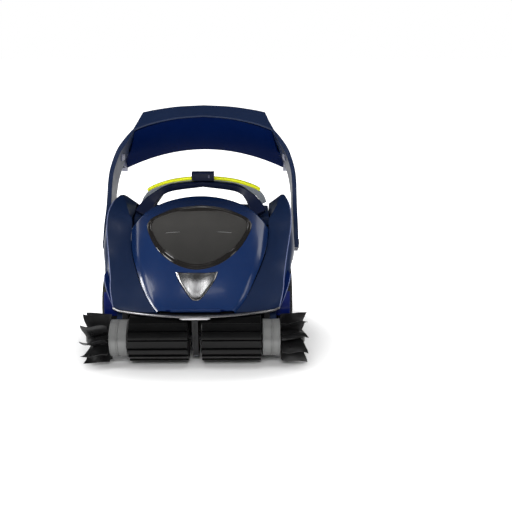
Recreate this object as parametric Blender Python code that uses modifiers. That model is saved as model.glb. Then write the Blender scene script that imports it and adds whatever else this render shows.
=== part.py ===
"""Pool cleaner: a four-wheeled robotic cleaner with two front rollers, a lift-out
filter canister under a windowed lid, and a big floating carry handle.

Frame: metres, +X to the right as seen from the front, +Y to the rear, +Z up.  The
origin is on the floor under the middle of the whole cleaner.  "left" names the -X
side and "right" the +X side.  They mirror each other, so most functions take a side.
"""
import math

import bmesh
import bpy
from mathutils import Matrix, Vector
from mathutils.geometry import convex_hull_2d

# ---------------------------------------------------------------- driving sizes
GAP = 0.0003                     # left between pieces that touch
SIDES = {"left": -1, "right": 1}

WHEEL_RADIUS = 0.078
TYRE_INNER = 0.062
TYRE_FIT = 0.0012                           # clears the corners of a faceted rim
WHEEL_IN, WHEEL_OUT = 0.160, 0.189          # |X| of a wheel's two faces
FRONT_AXLE = Vector((0, -0.060, WHEEL_RADIUS))
REAR_AXLE = Vector((0, 0.110, WHEEL_RADIUS))
AXLE_RADIUS = 0.006
ARCH_RADIUS = WHEEL_RADIUS + 0.006
GUARD_IN, GUARD_OUT = 0.1560, 0.1830        # |X| of a front wheel guard's two edges
GUARD_RADIUS, GUARD_WALL = WHEEL_RADIUS + 0.0025, 0.0026

BRUSH_AXIS = Vector((0, -0.190, 0.0505))
ROLLER_RADIUS = 0.0445
ROLLER_IN, ROLLER_OUT = 0.012, 0.126        # |X| of a roller's two ends
SIDE_BRUSH_RADIUS = 0.050
SIDE_BRUSH_IN, SIDE_BRUSH_OUT = 0.1622, 0.2130
HOUSING_RADIUS = 0.0356
HOUSING_IN, HOUSING_OUT = 0.1270, 0.1612
SHAFT_RADIUS = 0.005

GEAR_MODULE = 0.005
PRESSURE_ANGLE = math.radians(25)
ADDENDUM, DEDENDUM = 0.80, 1.05             # in modules
BACKLASH = 0.0004                           # taken off each tooth, on the pitch circle
WHEEL_TEETH, PINION_TEETH, BRUSH_TEETH = 24, 11, 9
GEAR_IN, GEAR_OUT = 0.143, 0.151            # |X| of the gear layer

TUB_HALF = 0.140                            # |X| of the tub's outer wall
TUB_WALL = 0.004
TUB_FLOOR_LOW, TUB_FLOOR = 0.040, 0.045
TUB_FRONT, TUB_REAR = -0.1425, 0.196
BULKHEAD_Y = 0.066

LID_HINGE = Vector((0, -0.187, 0.104))
KNUCKLE_HALF, KNUCKLE_RADIUS, ROD_RADIUS = 0.048, 0.0042, 0.0019
LID_THICK = 0.003
SHELL_THICK = 0.003
SEAM_TOP_HALF = 0.145                       # |X| of the lid's edge at its widest
LID_BOW = 0.045                             # how far the nose sweeps back at |X| 0.163
LID_CROWN = 0.020                           # how far the lid's top falls at the seam
SEAM_STEP = 0.008                           # the lid stands this proud of the fenders

HANDLE_PIVOT = Vector((0, 0.025, 0.175))
ARM_OUT, ARM_THICK = 0.209, 0.010
ARM_DEPTH = 0.060

OUTLET = Vector((0, 0.112, 0))              # the outlet duct's upright axis
DUCT_RADIUS = 0.050
HOOP_Y = 0.160


# ------------------------------------------------------------------- materials
def material(name, colour, roughness, metallic=0.0, alpha=1.0):
    mat = bpy.data.materials.new(name)
    mat.use_nodes = True
    shader = mat.node_tree.nodes["Principled BSDF"]
    shader.inputs["Base Color"].default_value = (*colour, 1.0)
    shader.inputs["Roughness"].default_value = roughness
    shader.inputs["Metallic"].default_value = metallic
    shader.inputs["Alpha"].default_value = alpha
    mat.diffuse_color = (*colour, alpha)
    return mat


def make_materials():
    return {
        "navy": material("navy_shell", (0.012, 0.024, 0.062), 0.22),
        "lid": material("navy_lid", (0.022, 0.042, 0.105), 0.18),
        "dark": material("dark_navy", (0.004, 0.009, 0.035), 0.30),
        "black": material("black_plastic", (0.012, 0.012, 0.013), 0.45),
        "rubber": material("black_rubber", (0.015, 0.015, 0.016), 0.70),
        "grey": material("grey_plastic", (0.23, 0.24, 0.25), 0.40),
        "lime": material("lime_plastic", (0.62, 0.78, 0.03), 0.35),
        "metal": material("satin_metal", (0.55, 0.55, 0.54), 0.30, metallic=1.0),
        "chrome": material("brushed_chrome", (0.70, 0.70, 0.70), 0.20, metallic=1.0),
        "steel": material("stainless_steel", (0.50, 0.50, 0.50), 0.30, metallic=1.0),
        "smoked": material("smoked_window", (0.035, 0.035, 0.036), 0.08, alpha=0.7),
        "clear": material("clear_plastic", (0.55, 0.58, 0.60), 0.10, alpha=0.4),
        "mesh": material("filter_mesh", (0.30, 0.31, 0.32), 0.60),
        "gear": material("gear_plastic", (0.62, 0.61, 0.56), 0.45),
    }


# ------------------------------------------------------------- building helpers
class Build:
    """Holds the two collections and puts finished meshes into them."""

    def __init__(self):
        self.parts = bpy.data.collections.new("pool_cleaner")
        self.cutters = bpy.data.collections.new("cutters")
        for collection in (self.parts, self.cutters):
            bpy.context.scene.collection.children.link(collection)
        self.mats = make_materials()
        self.pivots = {}

    def pivot(self, name, place):
        """An empty on a joint's axis, for that joint's pieces to hang from."""
        empty = bpy.data.objects.new(name, None)
        empty.location = place
        empty.empty_display_size = 0.03
        self.parts.objects.link(empty)
        self.pivots[name] = empty
        return empty

    def piece(self, name, mesh_source, slot, pivot=None, sharp=35):
        """Make an object from a bmesh in world places, hung from a pivot if named."""
        home = self.pivots[pivot].location if pivot else Vector((0, 0, 0))
        bmesh.ops.translate(mesh_source, verts=mesh_source.verts, vec=-home)
        bmesh.ops.recalc_face_normals(mesh_source, faces=mesh_source.faces)
        mesh = bpy.data.meshes.new(name)
        mesh_source.to_mesh(mesh)
        mesh_source.free()
        mesh.shade_smooth()
        mesh.set_sharp_from_angle(angle=math.radians(sharp))
        mesh.materials.append(self.mats[slot])
        obj = bpy.data.objects.new(name, mesh)
        self.parts.objects.link(obj)
        if pivot:
            obj.parent = self.pivots[pivot]
        return obj

    def cutter(self, name, mesh_source):
        obj = self.piece(name, mesh_source, "gear")
        self.parts.objects.unlink(obj)
        self.cutters.objects.link(obj)
        obj.hide_render = True
        obj.display_type = "WIRE"
        return obj

    def boolean(self, obj, other, operation="DIFFERENCE"):
        mod = obj.modifiers.new(operation.lower(), "BOOLEAN")
        mod.operation = operation
        mod.object = other
        mod.solver = "EXACT"
        return mod


def box(low, high):
    source = bmesh.new()
    bmesh.ops.create_cube(source, size=1.0)
    low, high = Vector(low), Vector(high)
    bmesh.ops.scale(source, verts=source.verts, vec=high - low)
    bmesh.ops.translate(source, verts=source.verts, vec=(low + high) / 2)
    return source


def rod(start, end, radius, segments=20, radius_end=None):
    """A cylinder, or a cone frustum, from start to end."""
    start, end = Vector(start), Vector(end)
    source = bmesh.new()
    bmesh.ops.create_cone(source, cap_ends=True, segments=segments, radius1=radius,
                          radius2=radius if radius_end is None else radius_end,
                          depth=(end - start).length)
    turn = (end - start).to_track_quat("Z", "Y").to_matrix().to_4x4()
    bmesh.ops.transform(source, verts=source.verts,
                        matrix=Matrix.Translation((start + end) / 2) @ turn)
    return source


def loft(rings, ends="caps"):
    """Skin a row of equal-length rings of points.

    ends is "caps" for flat ends, "tube" to join the last ring to the first, and
    "sheet" for an open surface whose rows are open too.
    """
    source = bmesh.new()
    rows = [[source.verts.new(point) for point in ring] for ring in rings]
    count = len(rows[0])
    span = count - 1 if ends == "sheet" else count
    following = rows[1:] + rows[:1] if ends == "tube" else rows[1:]
    for here, there in zip(rows, following):
        for i in range(span):
            j = (i + 1) % count
            source.faces.new((here[i], here[j], there[j], there[i]))
    if ends == "caps":
        source.faces.new(rows[0])
        source.faces.new(rows[-1])
    return source


def shell_of(obj, thickness, outward):
    """Thicken an open sheet inwards, after turning its faces to look outward."""
    facing = sum(face.normal.dot(outward) * face.area for face in obj.data.polygons)
    if facing < 0:
        obj.data.flip_normals()
    wall = obj.modifiers.new("wall", "SOLIDIFY")
    wall.thickness = thickness
    wall.offset = -1


def prism(outline, axis_low, axis_high, axis="X"):
    """An outline of (a, b) points pushed along X (a, b = Y, Z) or along Z (X, Y)."""
    if axis == "X":
        rings = [[Vector((level, a, b)) for a, b in outline]
                 for level in (axis_low, axis_high)]
    else:
        rings = [[Vector((a, b, level)) for a, b in outline]
                 for level in (axis_low, axis_high)]
    return loft(rings)


def turned(profile, centre, side, segments=32):
    """Spin a closed (distance from centre plane, radius) profile round an X axis.

    A point with radius 0 lies on the axis; the profile then starts and ends there.
    """
    source = bmesh.new()
    points = [Vector((side * out, centre.y, centre.z + radius)) for out, radius in profile]
    verts = [source.verts.new(point) for point in points]
    edges = [source.edges.new(pair) for pair in zip(verts, verts[1:])]
    if profile[0][1] > 0:
        edges.append(source.edges.new((verts[-1], verts[0])))
    bmesh.ops.spin(source, geom=verts + edges, cent=(0, centre.y, centre.z),
                   axis=(1, 0, 0), angle=2 * math.pi, steps=segments)
    bmesh.ops.remove_doubles(source, verts=source.verts, dist=0.00002)
    return source


def circle(centre, radius, count, start=0.0):
    """(Y, Z) points round a centre."""
    return [(centre.y + radius * math.cos(start + 2 * math.pi * i / count),
             centre.z + radius * math.sin(start + 2 * math.pi * i / count))
            for i in range(count)]


def smooth_path(points, per_span):
    """A Catmull-Rom curve through the points, with per_span steps between each two."""
    points = [Vector(point) for point in points]
    padded = [2 * points[0] - points[1]] + points + [2 * points[-1] - points[-2]]
    path = []
    for i in range(1, len(padded) - 2):
        a, b, c, d = padded[i - 1:i + 3]
        for step in range(per_span):
            t = step / per_span
            path.append(0.5 * ((2 * b) + (c - a) * t + (2 * a - 5 * b + 4 * c - d) * t ** 2
                               + (3 * b - a - 3 * c + d) * t ** 3))
    path.append(points[-1])
    return path


def smooth_step(low, high, value):
    t = max(0.0, min(1.0, (value - low) / (high - low)))
    return t * t * (3 - 2 * t)


def mirrored(points, side):
    return [Vector((side * point.x, point.y, point.z)) for point in points]


# ----------------------------------------------------------------------- gears
def gear_centres():
    """Each gear's axis in one side's train, worked out from the centre distances."""
    both = GEAR_MODULE * (WHEEL_TEETH + PINION_TEETH) / 2
    last = GEAR_MODULE * (PINION_TEETH + BRUSH_TEETH) / 2
    middle = (FRONT_AXLE + REAR_AXLE) / 2
    half = (REAR_AXLE - FRONT_AXLE).length / 2
    transfer = middle + Vector((0, 0, math.sqrt(both ** 2 - half ** 2)))
    motor_angle = math.radians(60)
    motor = REAR_AXLE + both * Vector((0, math.cos(motor_angle), math.sin(motor_angle)))
    span = BRUSH_AXIS - FRONT_AXLE
    along = (both ** 2 - last ** 2 + span.length ** 2) / (2 * span.length)
    across = math.sqrt(both ** 2 - along ** 2)
    unit = span.normalized()
    idler = FRONT_AXLE + along * unit + across * Vector((0, -unit.z, unit.y))
    return {"front": FRONT_AXLE, "rear": REAR_AXLE, "transfer": transfer,
            "motor": motor, "idler": idler, "brush": BRUSH_AXIS}


GEARS = gear_centres()


def mesh_phase(driver, driver_teeth, driver_phase, driven, driven_teeth):
    """The angle of a driven gear's tooth that puts a gap against each driver tooth."""
    line = driven - driver
    toward = math.atan2(line.z, line.y)
    back = toward + math.pi
    gap = back - driver_teeth * (driver_phase - toward) / driven_teeth
    return gap + math.pi / driven_teeth


def gear_phases():
    phases = {"front": 0.0}
    for name, driver in (("transfer", "front"), ("rear", "transfer"), ("motor", "rear"),
                         ("idler", "front"), ("brush", "idler")):
        phases[name] = mesh_phase(GEARS[driver], teeth_of(driver), phases[driver],
                                  GEARS[name], teeth_of(name))
    return phases


def teeth_of(name):
    return {"front": WHEEL_TEETH, "rear": WHEEL_TEETH, "brush": BRUSH_TEETH}.get(
        name, PINION_TEETH)


def involute(angle):
    return math.tan(angle) - angle


def gear_outline(centre, teeth, phase):
    """Teeth as (Y, Z) points; each flank is the chord of its involute, root to tip."""
    pitch = GEAR_MODULE * teeth / 2
    base = pitch * math.cos(PRESSURE_ANGLE)
    tip = pitch + ADDENDUM * GEAR_MODULE
    root = pitch - DEDENDUM * GEAR_MODULE
    half_at_pitch = (math.pi * pitch / teeth - BACKLASH) / (2 * pitch)
    points = []
    for tooth in range(teeth):
        middle = phase + 2 * math.pi * tooth / teeth
        flank = []
        for radius in (root, tip):
            pressure = math.acos(min(1.0, base / radius))
            half = half_at_pitch + involute(PRESSURE_ANGLE) - involute(pressure)
            flank.append((radius, half))
        for radius, half in flank:
            points.append((centre.y + radius * math.cos(middle - half),
                           centre.z + radius * math.sin(middle - half)))
        for radius, half in reversed(flank):
            points.append((centre.y + radius * math.cos(middle + half),
                           centre.z + radius * math.sin(middle + half)))
    return points


PHASES = gear_phases()


def gear_solid(name, side):
    outline = gear_outline(GEARS[name], teeth_of(name), PHASES[name])
    return prism(outline, side * GEAR_IN, side * GEAR_OUT)


# --------------------------------------------------------------- body surfaces
LID_PROFILE = smooth_path([(0, -0.190, 0.103), (0, -0.168, 0.118), (0, -0.130, 0.157),
                           (0, -0.070, 0.209), (0, -0.015, 0.2575), (0, 0.012, 0.271),
                           (0, 0.044, 0.2795)], 8)


def centre_height(y):
    """Height of the lid's middle line over a place y, straight beyond its ends."""
    if y <= LID_PROFILE[0].y:
        pair = LID_PROFILE[0], LID_PROFILE[1]
    elif y >= LID_PROFILE[-1].y:
        pair = LID_PROFILE[-2], LID_PROFILE[-1]
    else:
        pair = next((a, b) for a, b in zip(LID_PROFILE, LID_PROFILE[1:]) if b.y >= y)
    a, b = pair
    return a.z + (b.z - a.z) * (y - a.y) / (b.y - a.y)


def lid_height(x, y):
    bow = LID_BOW * (x / 0.163) ** 2
    crown = LID_CROWN * (x / SEAM_TOP_HALF) ** 2 * smooth_step(-0.120, 0.010, y)
    return centre_height(y - bow) - crown


def seam_half(y):
    """|X| of the edge between the lid and a fender."""
    return SEAM_TOP_HALF - 0.071 * (max(0.0, 0.015 - y) / 0.200) ** 2


def lid_point(across, along):
    """A point of the lid's outer skin: across -1 to 1, along 0 (nose) to 1 (top)."""
    middle_y = -0.190 + 0.234 * along
    seam_y = -0.181 + 0.206 * along - 0.026 * along ** 5
    y = middle_y + (seam_y - middle_y) * across ** 2
    x = across * (seam_half(seam_y) - 0.001)
    edge = max(0.0, abs(across) - 0.88) / 0.12
    return Vector((x, y, lid_height(x, y) - 0.75 * SEAM_STEP * edge ** 2))


# ---------------------------------------------------------------- lid and window
WINDOW_TOP = [(-0.108, -0.014), (-0.075, -0.006), (-0.038, -0.003), (0.0, -0.002)]
WINDOW_LOW = [(0.0, -0.122), (-0.040, -0.112), (-0.074, -0.086), (-0.098, -0.050)]


def window_outline(grow):
    """The window's rounded shield in plan, as (x, y) points, grown by a distance."""
    half = WINDOW_LOW + WINDOW_TOP[:3]
    ring = [Vector((-x, y, 0)) for x, y in [WINDOW_TOP[3]] + WINDOW_TOP[2::-1]]
    ring += [Vector((-x, y, 0)) for x, y in WINDOW_LOW[:0:-1]]
    ring += [Vector((x, y, 0)) for x, y in half]
    closed = ring[-1:] + ring + ring[:2]
    path = smooth_path(closed, 2)[2:-4]
    centre = Vector((0, -0.055, 0))
    return [(point + (point - centre).normalized() * grow) for point in path[:-1]]


def on_lid(point, depth):
    """The place straight under a plan point, depth below the lid's outer skin."""
    return Vector((point.x, point.y, lid_height(point.x, point.y) - depth))


def rim_on_lid(inner, outer, depth_out, depth_in):
    """A ring with a hole through it that follows the lid's skin."""
    rings = [[on_lid(p, depth) for p in loop]
             for loop, depth in ((outer, depth_out), (inner, depth_out), (inner, depth_in),
                                 (outer, depth_in))]
    return loft(rings, "tube")


def plate_on_lid(outer, depth_out, depth_in):
    """A closed plate that follows the lid's skin."""
    centre = Vector((0, -0.058, 0))
    loops = [[centre.lerp(p, t) for p in outer] for t in (0.2, 0.6, 1.0)]
    under = [[on_lid(p, depth_in) for p in loop] for loop in loops]
    over = [[on_lid(p, depth_out) for p in loop] for loop in reversed(loops)]
    return loft(under + over)


def make_lid(build):
    half = [1, 0.94, 0.86, 0.62, 0.32]
    columns = [-c for c in half] + [0] + half[::-1]
    rows = [i / 11 for i in range(12)]
    sheet = loft([[lid_point(c, r) for c in columns] for r in rows], "sheet")
    lid = build.piece("lid_shell", sheet, "lid", "lid_pivot", sharp=60)
    shell_of(lid, LID_THICK, Vector((0, -0.5, 1)))
    hole = build.cutter("window_hole", prism(
        [(p.x, p.y) for p in window_outline(0.0)], 0.05, 0.32, axis="Z"))
    build.boolean(lid, hole)
    badge_seat = build.cutter("badge_seat", prism(
        [(p.x, p.y) for p in badge_outline(0.0012)], 0.05, 0.32, axis="Z"))
    build.boolean(lid, badge_seat)
    y, z = LID_HINGE.y, LID_HINGE.z
    build.boolean(lid, build.cutter("lid_knuckle", rod(
        (-KNUCKLE_HALF, y, z), (KNUCKLE_HALF, y, z), KNUCKLE_RADIUS, 14)), "UNION")
    build.boolean(lid, build.cutter("lid_hinge_bore", rod(
        (-0.070, y, z), (0.070, y, z), ROD_RADIUS + GAP, 12)))


def badge_outline(grow):
    """A plain shield in plan: a hollow top edge and two full curves to a round tip."""
    top = [(-0.041, -0.1235), (-0.020, -0.1265), (0.0, -0.1275)]
    side = [(-0.034, -0.138), (-0.021, -0.153), (-0.008, -0.1655), (0.0, -0.1675)]
    half = [Vector((x, y, 0)) for x, y in top[::-1] + side]
    ring = half + [Vector((-p.x, p.y, 0)) for p in half[-2:0:-1]]
    centre = Vector((0, -0.142, 0))
    return [p + (p - centre).normalized() * grow for p in ring]


def make_badge(build):
    outline = badge_outline(0.0)
    centre = Vector((0, -0.142, 0))
    rings = []
    for fraction, lift in ((1.0, -0.0026), (1.0, 0.0006), (0.90, 0.0022), (0.5, 0.0030)):
        ring = [centre.lerp(p, fraction) for p in outline]
        rings.append([Vector((p.x, p.y, lid_height(p.x, p.y) + lift)) for p in ring])
    build.piece("badge", loft(rings), "chrome", "lid_pivot", sharp=50)


def make_window(build):
    rim = rim_on_lid(window_outline(-0.0100), window_outline(-0.0004), -0.0022, 0.0030)
    build.piece("window_rim", rim, "black", "lid_pivot", sharp=50)
    pane = plate_on_lid(window_outline(-0.0104), 0.0004, 0.0034)
    build.piece("window", pane, "smoked", "lid_pivot", sharp=60)


def make_grip(build):
    """The arched bar behind the lid's top edge, one piece with two spreading legs."""
    front = smooth_path([(-0.1388, 0.0290, 0.2500), (-0.131, 0.056, 0.2590),
                         (-0.112, 0.085, 0.2725), (-0.075, 0.112, 0.2840),
                         (0.0, 0.124, 0.2900)], 4)
    depth = smooth_path([(0.0, 0.012, -0.010), (0.002, 0.022, -0.008),
                         (0.004, 0.028, -0.004), (0.0, 0.026, 0.001),
                         (0.0, 0.022, 0.003)], 4)
    height = smooth_path([(0.032, 0, 0.019), (0.026, 0, 0.012), (0.014, 0, 0.014),
                          (0.003, 0, 0.0125), (0.0, 0, 0.0105)], 4)
    half = []
    for edge, back, drop in zip(front, depth, height):
        inward = Vector((drop.x, 0, -drop.z))
        half.append([edge, edge + back * 0.5 + Vector((0, 0, 0.0012)), edge + back,
                     edge + back + inward, edge + inward])
    other = [[Vector((-p.x, p.y, p.z)) for p in ring] for ring in half[-2::-1]]
    build.piece("lid_grip", loft(half + other), "dark", "lid_pivot", sharp=40)


def make_latch(build):
    """The release button over the grip: a block with a thumb lip."""
    outline = [(0.1228, 0.2942), (0.1228, 0.3100), (0.1250, 0.3125), (0.1470, 0.3120),
               (0.1490, 0.3095), (0.1490, 0.2942)]
    block = prism(outline, -0.025, 0.025)
    build.piece("lid_latch", block, "dark", "latch_pivot")


def make_hinge_rod(build):
    y, z = LID_HINGE.y, LID_HINGE.z
    build.piece("lid_hinge_rod", rod((-0.056, y, z), (0.056, y, z), ROD_RADIUS, 12), "steel")


# --------------------------------------------------------------------- fenders
# Four lines run along a +X fender from its nose to its tail: the top of the flank, the
# crest between the face and the inner wall, and the foot of that wall.  Up to SEAM_ROWS
# the crest is the seam against the lid, so it and the foot are worked out from that.
EDGE = [Vector(place) for place in (
    (0.1625, -0.1558, 0.0985), (0.1665, -0.1460, 0.1130), (0.1710, -0.1300, 0.1300),
    (0.1730, -0.1130, 0.1485), (0.1790, -0.0860, 0.1830), (0.1850, -0.0600, 0.2080),
    (0.1895, -0.0350, 0.2280), (0.1915, -0.0050, 0.2490), (0.1895, 0.0300, 0.2620),
    (0.1855, 0.0680, 0.2665), (0.1815, 0.1050, 0.2665), (0.1810, 0.1300, 0.2580),
    (0.1790, 0.1600, 0.2400), (0.1750, 0.1900, 0.2050), (0.1720, 0.2030, 0.1650))]
CREST = [Vector(place) for place in (
    (0.1530, 0.0350, 0.2400), (0.1660, 0.0720, 0.2550), (0.1775, 0.1040, 0.2662),
    (0.1730, 0.1300, 0.2590), (0.1670, 0.1600, 0.2430), (0.1600, 0.1900, 0.2140),
    (0.1550, 0.2030, 0.1720))]
FOOT = [Vector(place) for place in (
    (0.1490, 0.0330, 0.2280), (0.1490, 0.0710, 0.2330), (0.1490, 0.1030, 0.2400),
    (0.1490, 0.1290, 0.2410), (0.1490, 0.1590, 0.2290), (0.1490, 0.1890, 0.1960),
    (0.1490, 0.2020, 0.1580))]
SEAM_ROWS = len(EDGE) - len(CREST)
FLANK_BASE, TAIL_BASE = 0.120, 0.092        # how low the flank reaches between the arches


def arch_height(y):
    """Height of the wheel arches' edge over a place y; 0 where there is no arch."""
    tops = [axle.z + math.sqrt(ARCH_RADIUS ** 2 - (y - axle.y) ** 2)
            for axle in (FRONT_AXLE, REAR_AXLE) if abs(y - axle.y) < ARCH_RADIUS]
    return max(tops, default=0.0)


def fender_row(index):
    """One closed cross-section of a +X fender: the outer skin out, the inner skin back."""
    edge = EDGE[index]
    if index < SEAM_ROWS:
        seam_y = -0.181 + 0.202 * index / (SEAM_ROWS - 1)
        half = seam_half(seam_y) + 0.001
        full = smooth_step(0, 3, index)
        crest = Vector((half, seam_y, lid_height(half, seam_y)
                        - SEAM_STEP * (0.4 + 0.6 * full)))
        foot = crest + Vector((0.0015, 0.0045, -0.0030 - 0.0060 * full))
    else:
        crest, foot = CREST[index - SEAM_ROWS], FOOT[index - SEAM_ROWS]
    base = FLANK_BASE + (TAIL_BASE - FLANK_BASE) * smooth_step(0.150, 0.200, edge.y)
    low_z = min(edge.z - 0.0045, max(arch_height(edge.y), base))
    flank = edge.z - low_z
    flare = 0.010 * smooth_step(-0.120, -0.095, edge.y) * (1 - smooth_step(-0.045, 0.0, edge.y))
    low = Vector((edge.x + flare - 0.004 * smooth_step(0.0, 0.06, flank), edge.y, low_z))
    bulge = Vector((0.005 * smooth_step(0.0, 0.05, flank), 0, 0))
    dish = Vector((0, 0, -0.0030)) * (1 - smooth_step(7, 10, index))
    outer = [foot, crest, crest.lerp(edge, 0.33) + dish, crest.lerp(edge, 0.67) + dish,
             edge, edge.lerp(low, 0.5) + bulge, low]
    walls = [Vector((0.0026, 0.0010, -0.0004)), Vector((0.0005, 0.0012, -0.0040)),
             Vector((0.0002, 0.0012, -0.0036)), Vector((-0.0006, 0.0012, -0.0034)),
             Vector((-0.0024, 0.0010, -0.0032)), Vector((-0.0030, 0, 0)),
             Vector((-0.0030, 0, 0))]
    return outer + [point + wall for point, wall in zip(outer[::-1], walls[::-1])]


def make_fender(build, side_name):
    side = SIDES[side_name]
    name = side_name + "_fender"
    rows = [mirrored(fender_row(index), side) for index in range(len(EDGE))]
    fender = build.piece(name, loft(rows), "navy", sharp=40)
    y, z = HANDLE_PIVOT.y, HANDLE_PIVOT.z
    build.boolean(fender, build.cutter(name + "_boss", rod(
        (side * 0.1885, y, z), (side * 0.1987, y, z), 0.016, 20)), "UNION")
    build.boolean(fender, build.cutter(name + "_bore", rod(
        (side * 0.170, y, z), (side * 0.230, y, z), AXLE_RADIUS + GAP, 16)))


# --------------------------------------------------------------- nose and strip
def nose_point(x, back, z):
    """A point on the nose's swept plan, back metres behind the strip's front."""
    sweep = 0.051 * (x / 0.162) ** 2
    return Vector((x, -0.209 + sweep + back, z))


def swept_bar(section_at, half, count):
    """Loft a section along the nose from -half to +half."""
    return loft([section_at(half * (2 * i / count - 1)) for i in range(count + 1)])


def make_nose(build):
    def strip_section(x):
        z = 0.0996 - 0.0046 * (x / 0.162) ** 2 + 0.0030 * smooth_step(0.150, 0.162, abs(x))
        points = [(-0.0026, 0.0), (-0.0012, 0.0024), (0.0014, 0.0024), (0.0014, -0.0024),
                  (-0.0012, -0.0024)]
        return [nose_point(x, back, z + up) for back, up in points]

    build.piece("trim_strip", swept_bar(strip_section, 0.162, 24), "metal", sharp=40)

    def bar_section(x):
        start, top = nose_point(x, 0.0018, 0).y, 0.1004 - 0.0046 * (x / 0.162) ** 2
        end = min(start + 0.006, -0.1820 + 0.261 * (abs(x) - 0.078))
        return [Vector((x, y, z)) for y, z in
                ((start, top), (end, top), (end, top - 0.0024), (start, top - 0.0024))]

    def plate_section(x):
        """Back from the bar, over the rollers and down to the tub's front wall."""
        drop = 0.0010 * smooth_step(0.040, 0.068, abs(x))
        over, under = 0.0976 - drop, 0.0957 - 0.5 * drop
        start, top = nose_point(x, 0.0045, 0).y, 0.0998 - 0.0046 * (x / 0.162) ** 2
        return [Vector((x, y, z)) for y, z in
                ((start, top), (start + 0.010, over), (-0.1700, over), (-0.1455, 0.0800),
                 (-0.1455, 0.0776), (-0.1708, under), (start + 0.010, under),
                 (start, top - 0.0012))]

    bumper = build.piece("front_bumper", swept_bar(bar_section, 0.143, 18), "black")
    build.boolean(bumper, build.cutter("bumper_plate", swept_bar(plate_section, 0.070, 6)),
                  "UNION")


# ---------------------------------------------------------------------- chassis
def side_outline(grow):
    """The gear train's outline in (Y, Z): the hull round all the gears of one side."""
    tip = GEAR_MODULE * (0.5 * WHEEL_TEETH + ADDENDUM) + 0.0026
    small = GEAR_MODULE * (0.5 * PINION_TEETH + ADDENDUM) + 0.0026
    points = []
    for name, radius in (("front", tip), ("rear", tip), ("idler", small), ("motor", small)):
        points += circle(GEARS[name], (radius + grow) / math.cos(math.pi / 14), 14)
    order = convex_hull_2d([Vector(p) for p in points])
    return [points[i] for i in order]


def make_tub(build):
    profile = [(TUB_FRONT, TUB_FLOOR_LOW), (TUB_REAR, TUB_FLOOR_LOW), (TUB_REAR, 0.175),
               (-0.040, 0.172), (-0.100, 0.126), (TUB_FRONT, 0.078)]
    tub = build.piece("chassis_tub", prism(profile, -TUB_HALF + 0.0005, TUB_HALF - 0.0005),
                      "black")
    for side_name, side in SIDES.items():
        plate = build.cutter(side_name + "_plate", prism(
            side_outline(0.0), side * (TUB_HALF - TUB_WALL), side * TUB_HALF))
        build.boolean(tub, plate, "UNION")
    inner = TUB_HALF - TUB_WALL
    for name, low_y, high_y in (("bay", TUB_FRONT + 0.005, BULKHEAD_Y - 0.002),
                                ("motor_bay", BULKHEAD_Y + 0.002, TUB_REAR - 0.004)):
        build.boolean(tub, build.cutter(name, box((-inner, low_y, TUB_FLOOR),
                                                  (inner, high_y, 0.30))))
    for side_name, side in SIDES.items():
        room = HOUSING_RADIUS + 0.0022
        build.boolean(tub, build.cutter(side_name + "_housing_room", turned(
            [(0.1265, 0), (0.1265, room), (0.30, room), (0.30, 0)], BRUSH_AXIS, side, 36)))
    build.boolean(tub, build.cutter("suction_slot", box((-0.060, -0.075, 0.030),
                                                        (0.060, -0.045, 0.060))))
    build.boolean(tub, build.cutter("bulkhead_port", box((-0.070, 0.050, 0.100),
                                                         (0.070, 0.080, 0.20))))
    for side_name, side in SIDES.items():
        for gear in ("front", "rear", "transfer", "idler"):
            centre = GEARS[gear]
            wheel = gear in ("front", "rear")
            reach = 0.184 if wheel else GEAR_OUT + 0.0012
            radius = AXLE_RADIUS if wheel else 0.004
            pin = build.cutter(side_name + "_" + gear + "_axle", rod(
                (side * (TUB_HALF - 0.002), centre.y, centre.z),
                (side * reach, centre.y, centre.z), radius, 10))
            build.boolean(tub, pin, "UNION")
        motor = GEARS["motor"]
        build.boolean(tub, build.cutter(side_name + "_motor_port", rod(
            (side * 0.130, motor.y, motor.z), (side * 0.145, motor.y, motor.z), 0.007, 16)))


def make_gear_cover(build, side_name):
    side = SIDES[side_name]
    name = side_name + "_gear_cover"
    inner_face, outer_face = TUB_HALF + GAP, 0.1556
    cover = build.piece(name, prism(side_outline(0.0), side * inner_face,
                                    side * outer_face), "black")
    pocket = build.cutter(name + "_pocket", prism(
        side_outline(-0.0016), side * 0.130, side * (outer_face - 0.0026)))
    build.boolean(cover, pocket)
    drum = build.cutter(name + "_drum", turned(
        [(0.120, 0), (0.120, HOUSING_RADIUS + 0.0006), (0.180, HOUSING_RADIUS + 0.0006),
         (0.180, 0)], BRUSH_AXIS, side, 36))
    build.boolean(cover, drum)
    for gear in ("front", "rear"):
        centre = GEARS[gear]
        build.boolean(cover, build.cutter(name + "_" + gear + "_port", rod(
            (side * 0.145, centre.y, centre.z), (side * 0.165, centre.y, centre.z),
            0.0146, 24)))


def make_wheel_guard(build, side_name):
    """The curved panel that covers the upper front of a front wheel's tread."""
    side = SIDES[side_name]
    rings = []
    for step in range(6):
        angle = math.radians(181 - 33 * step / 5)
        rings.append([Vector((side * x, FRONT_AXLE.y + radius * math.cos(angle),
                              FRONT_AXLE.z + radius * math.sin(angle)))
                      for x, radius in ((GUARD_IN, GUARD_RADIUS), (GUARD_OUT, GUARD_RADIUS),
                                        (GUARD_OUT, GUARD_RADIUS + GUARD_WALL),
                                        (GUARD_IN, GUARD_RADIUS + GUARD_WALL))])
    build.piece(side_name + "_wheel_guard", loft(rings), "navy")


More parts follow.
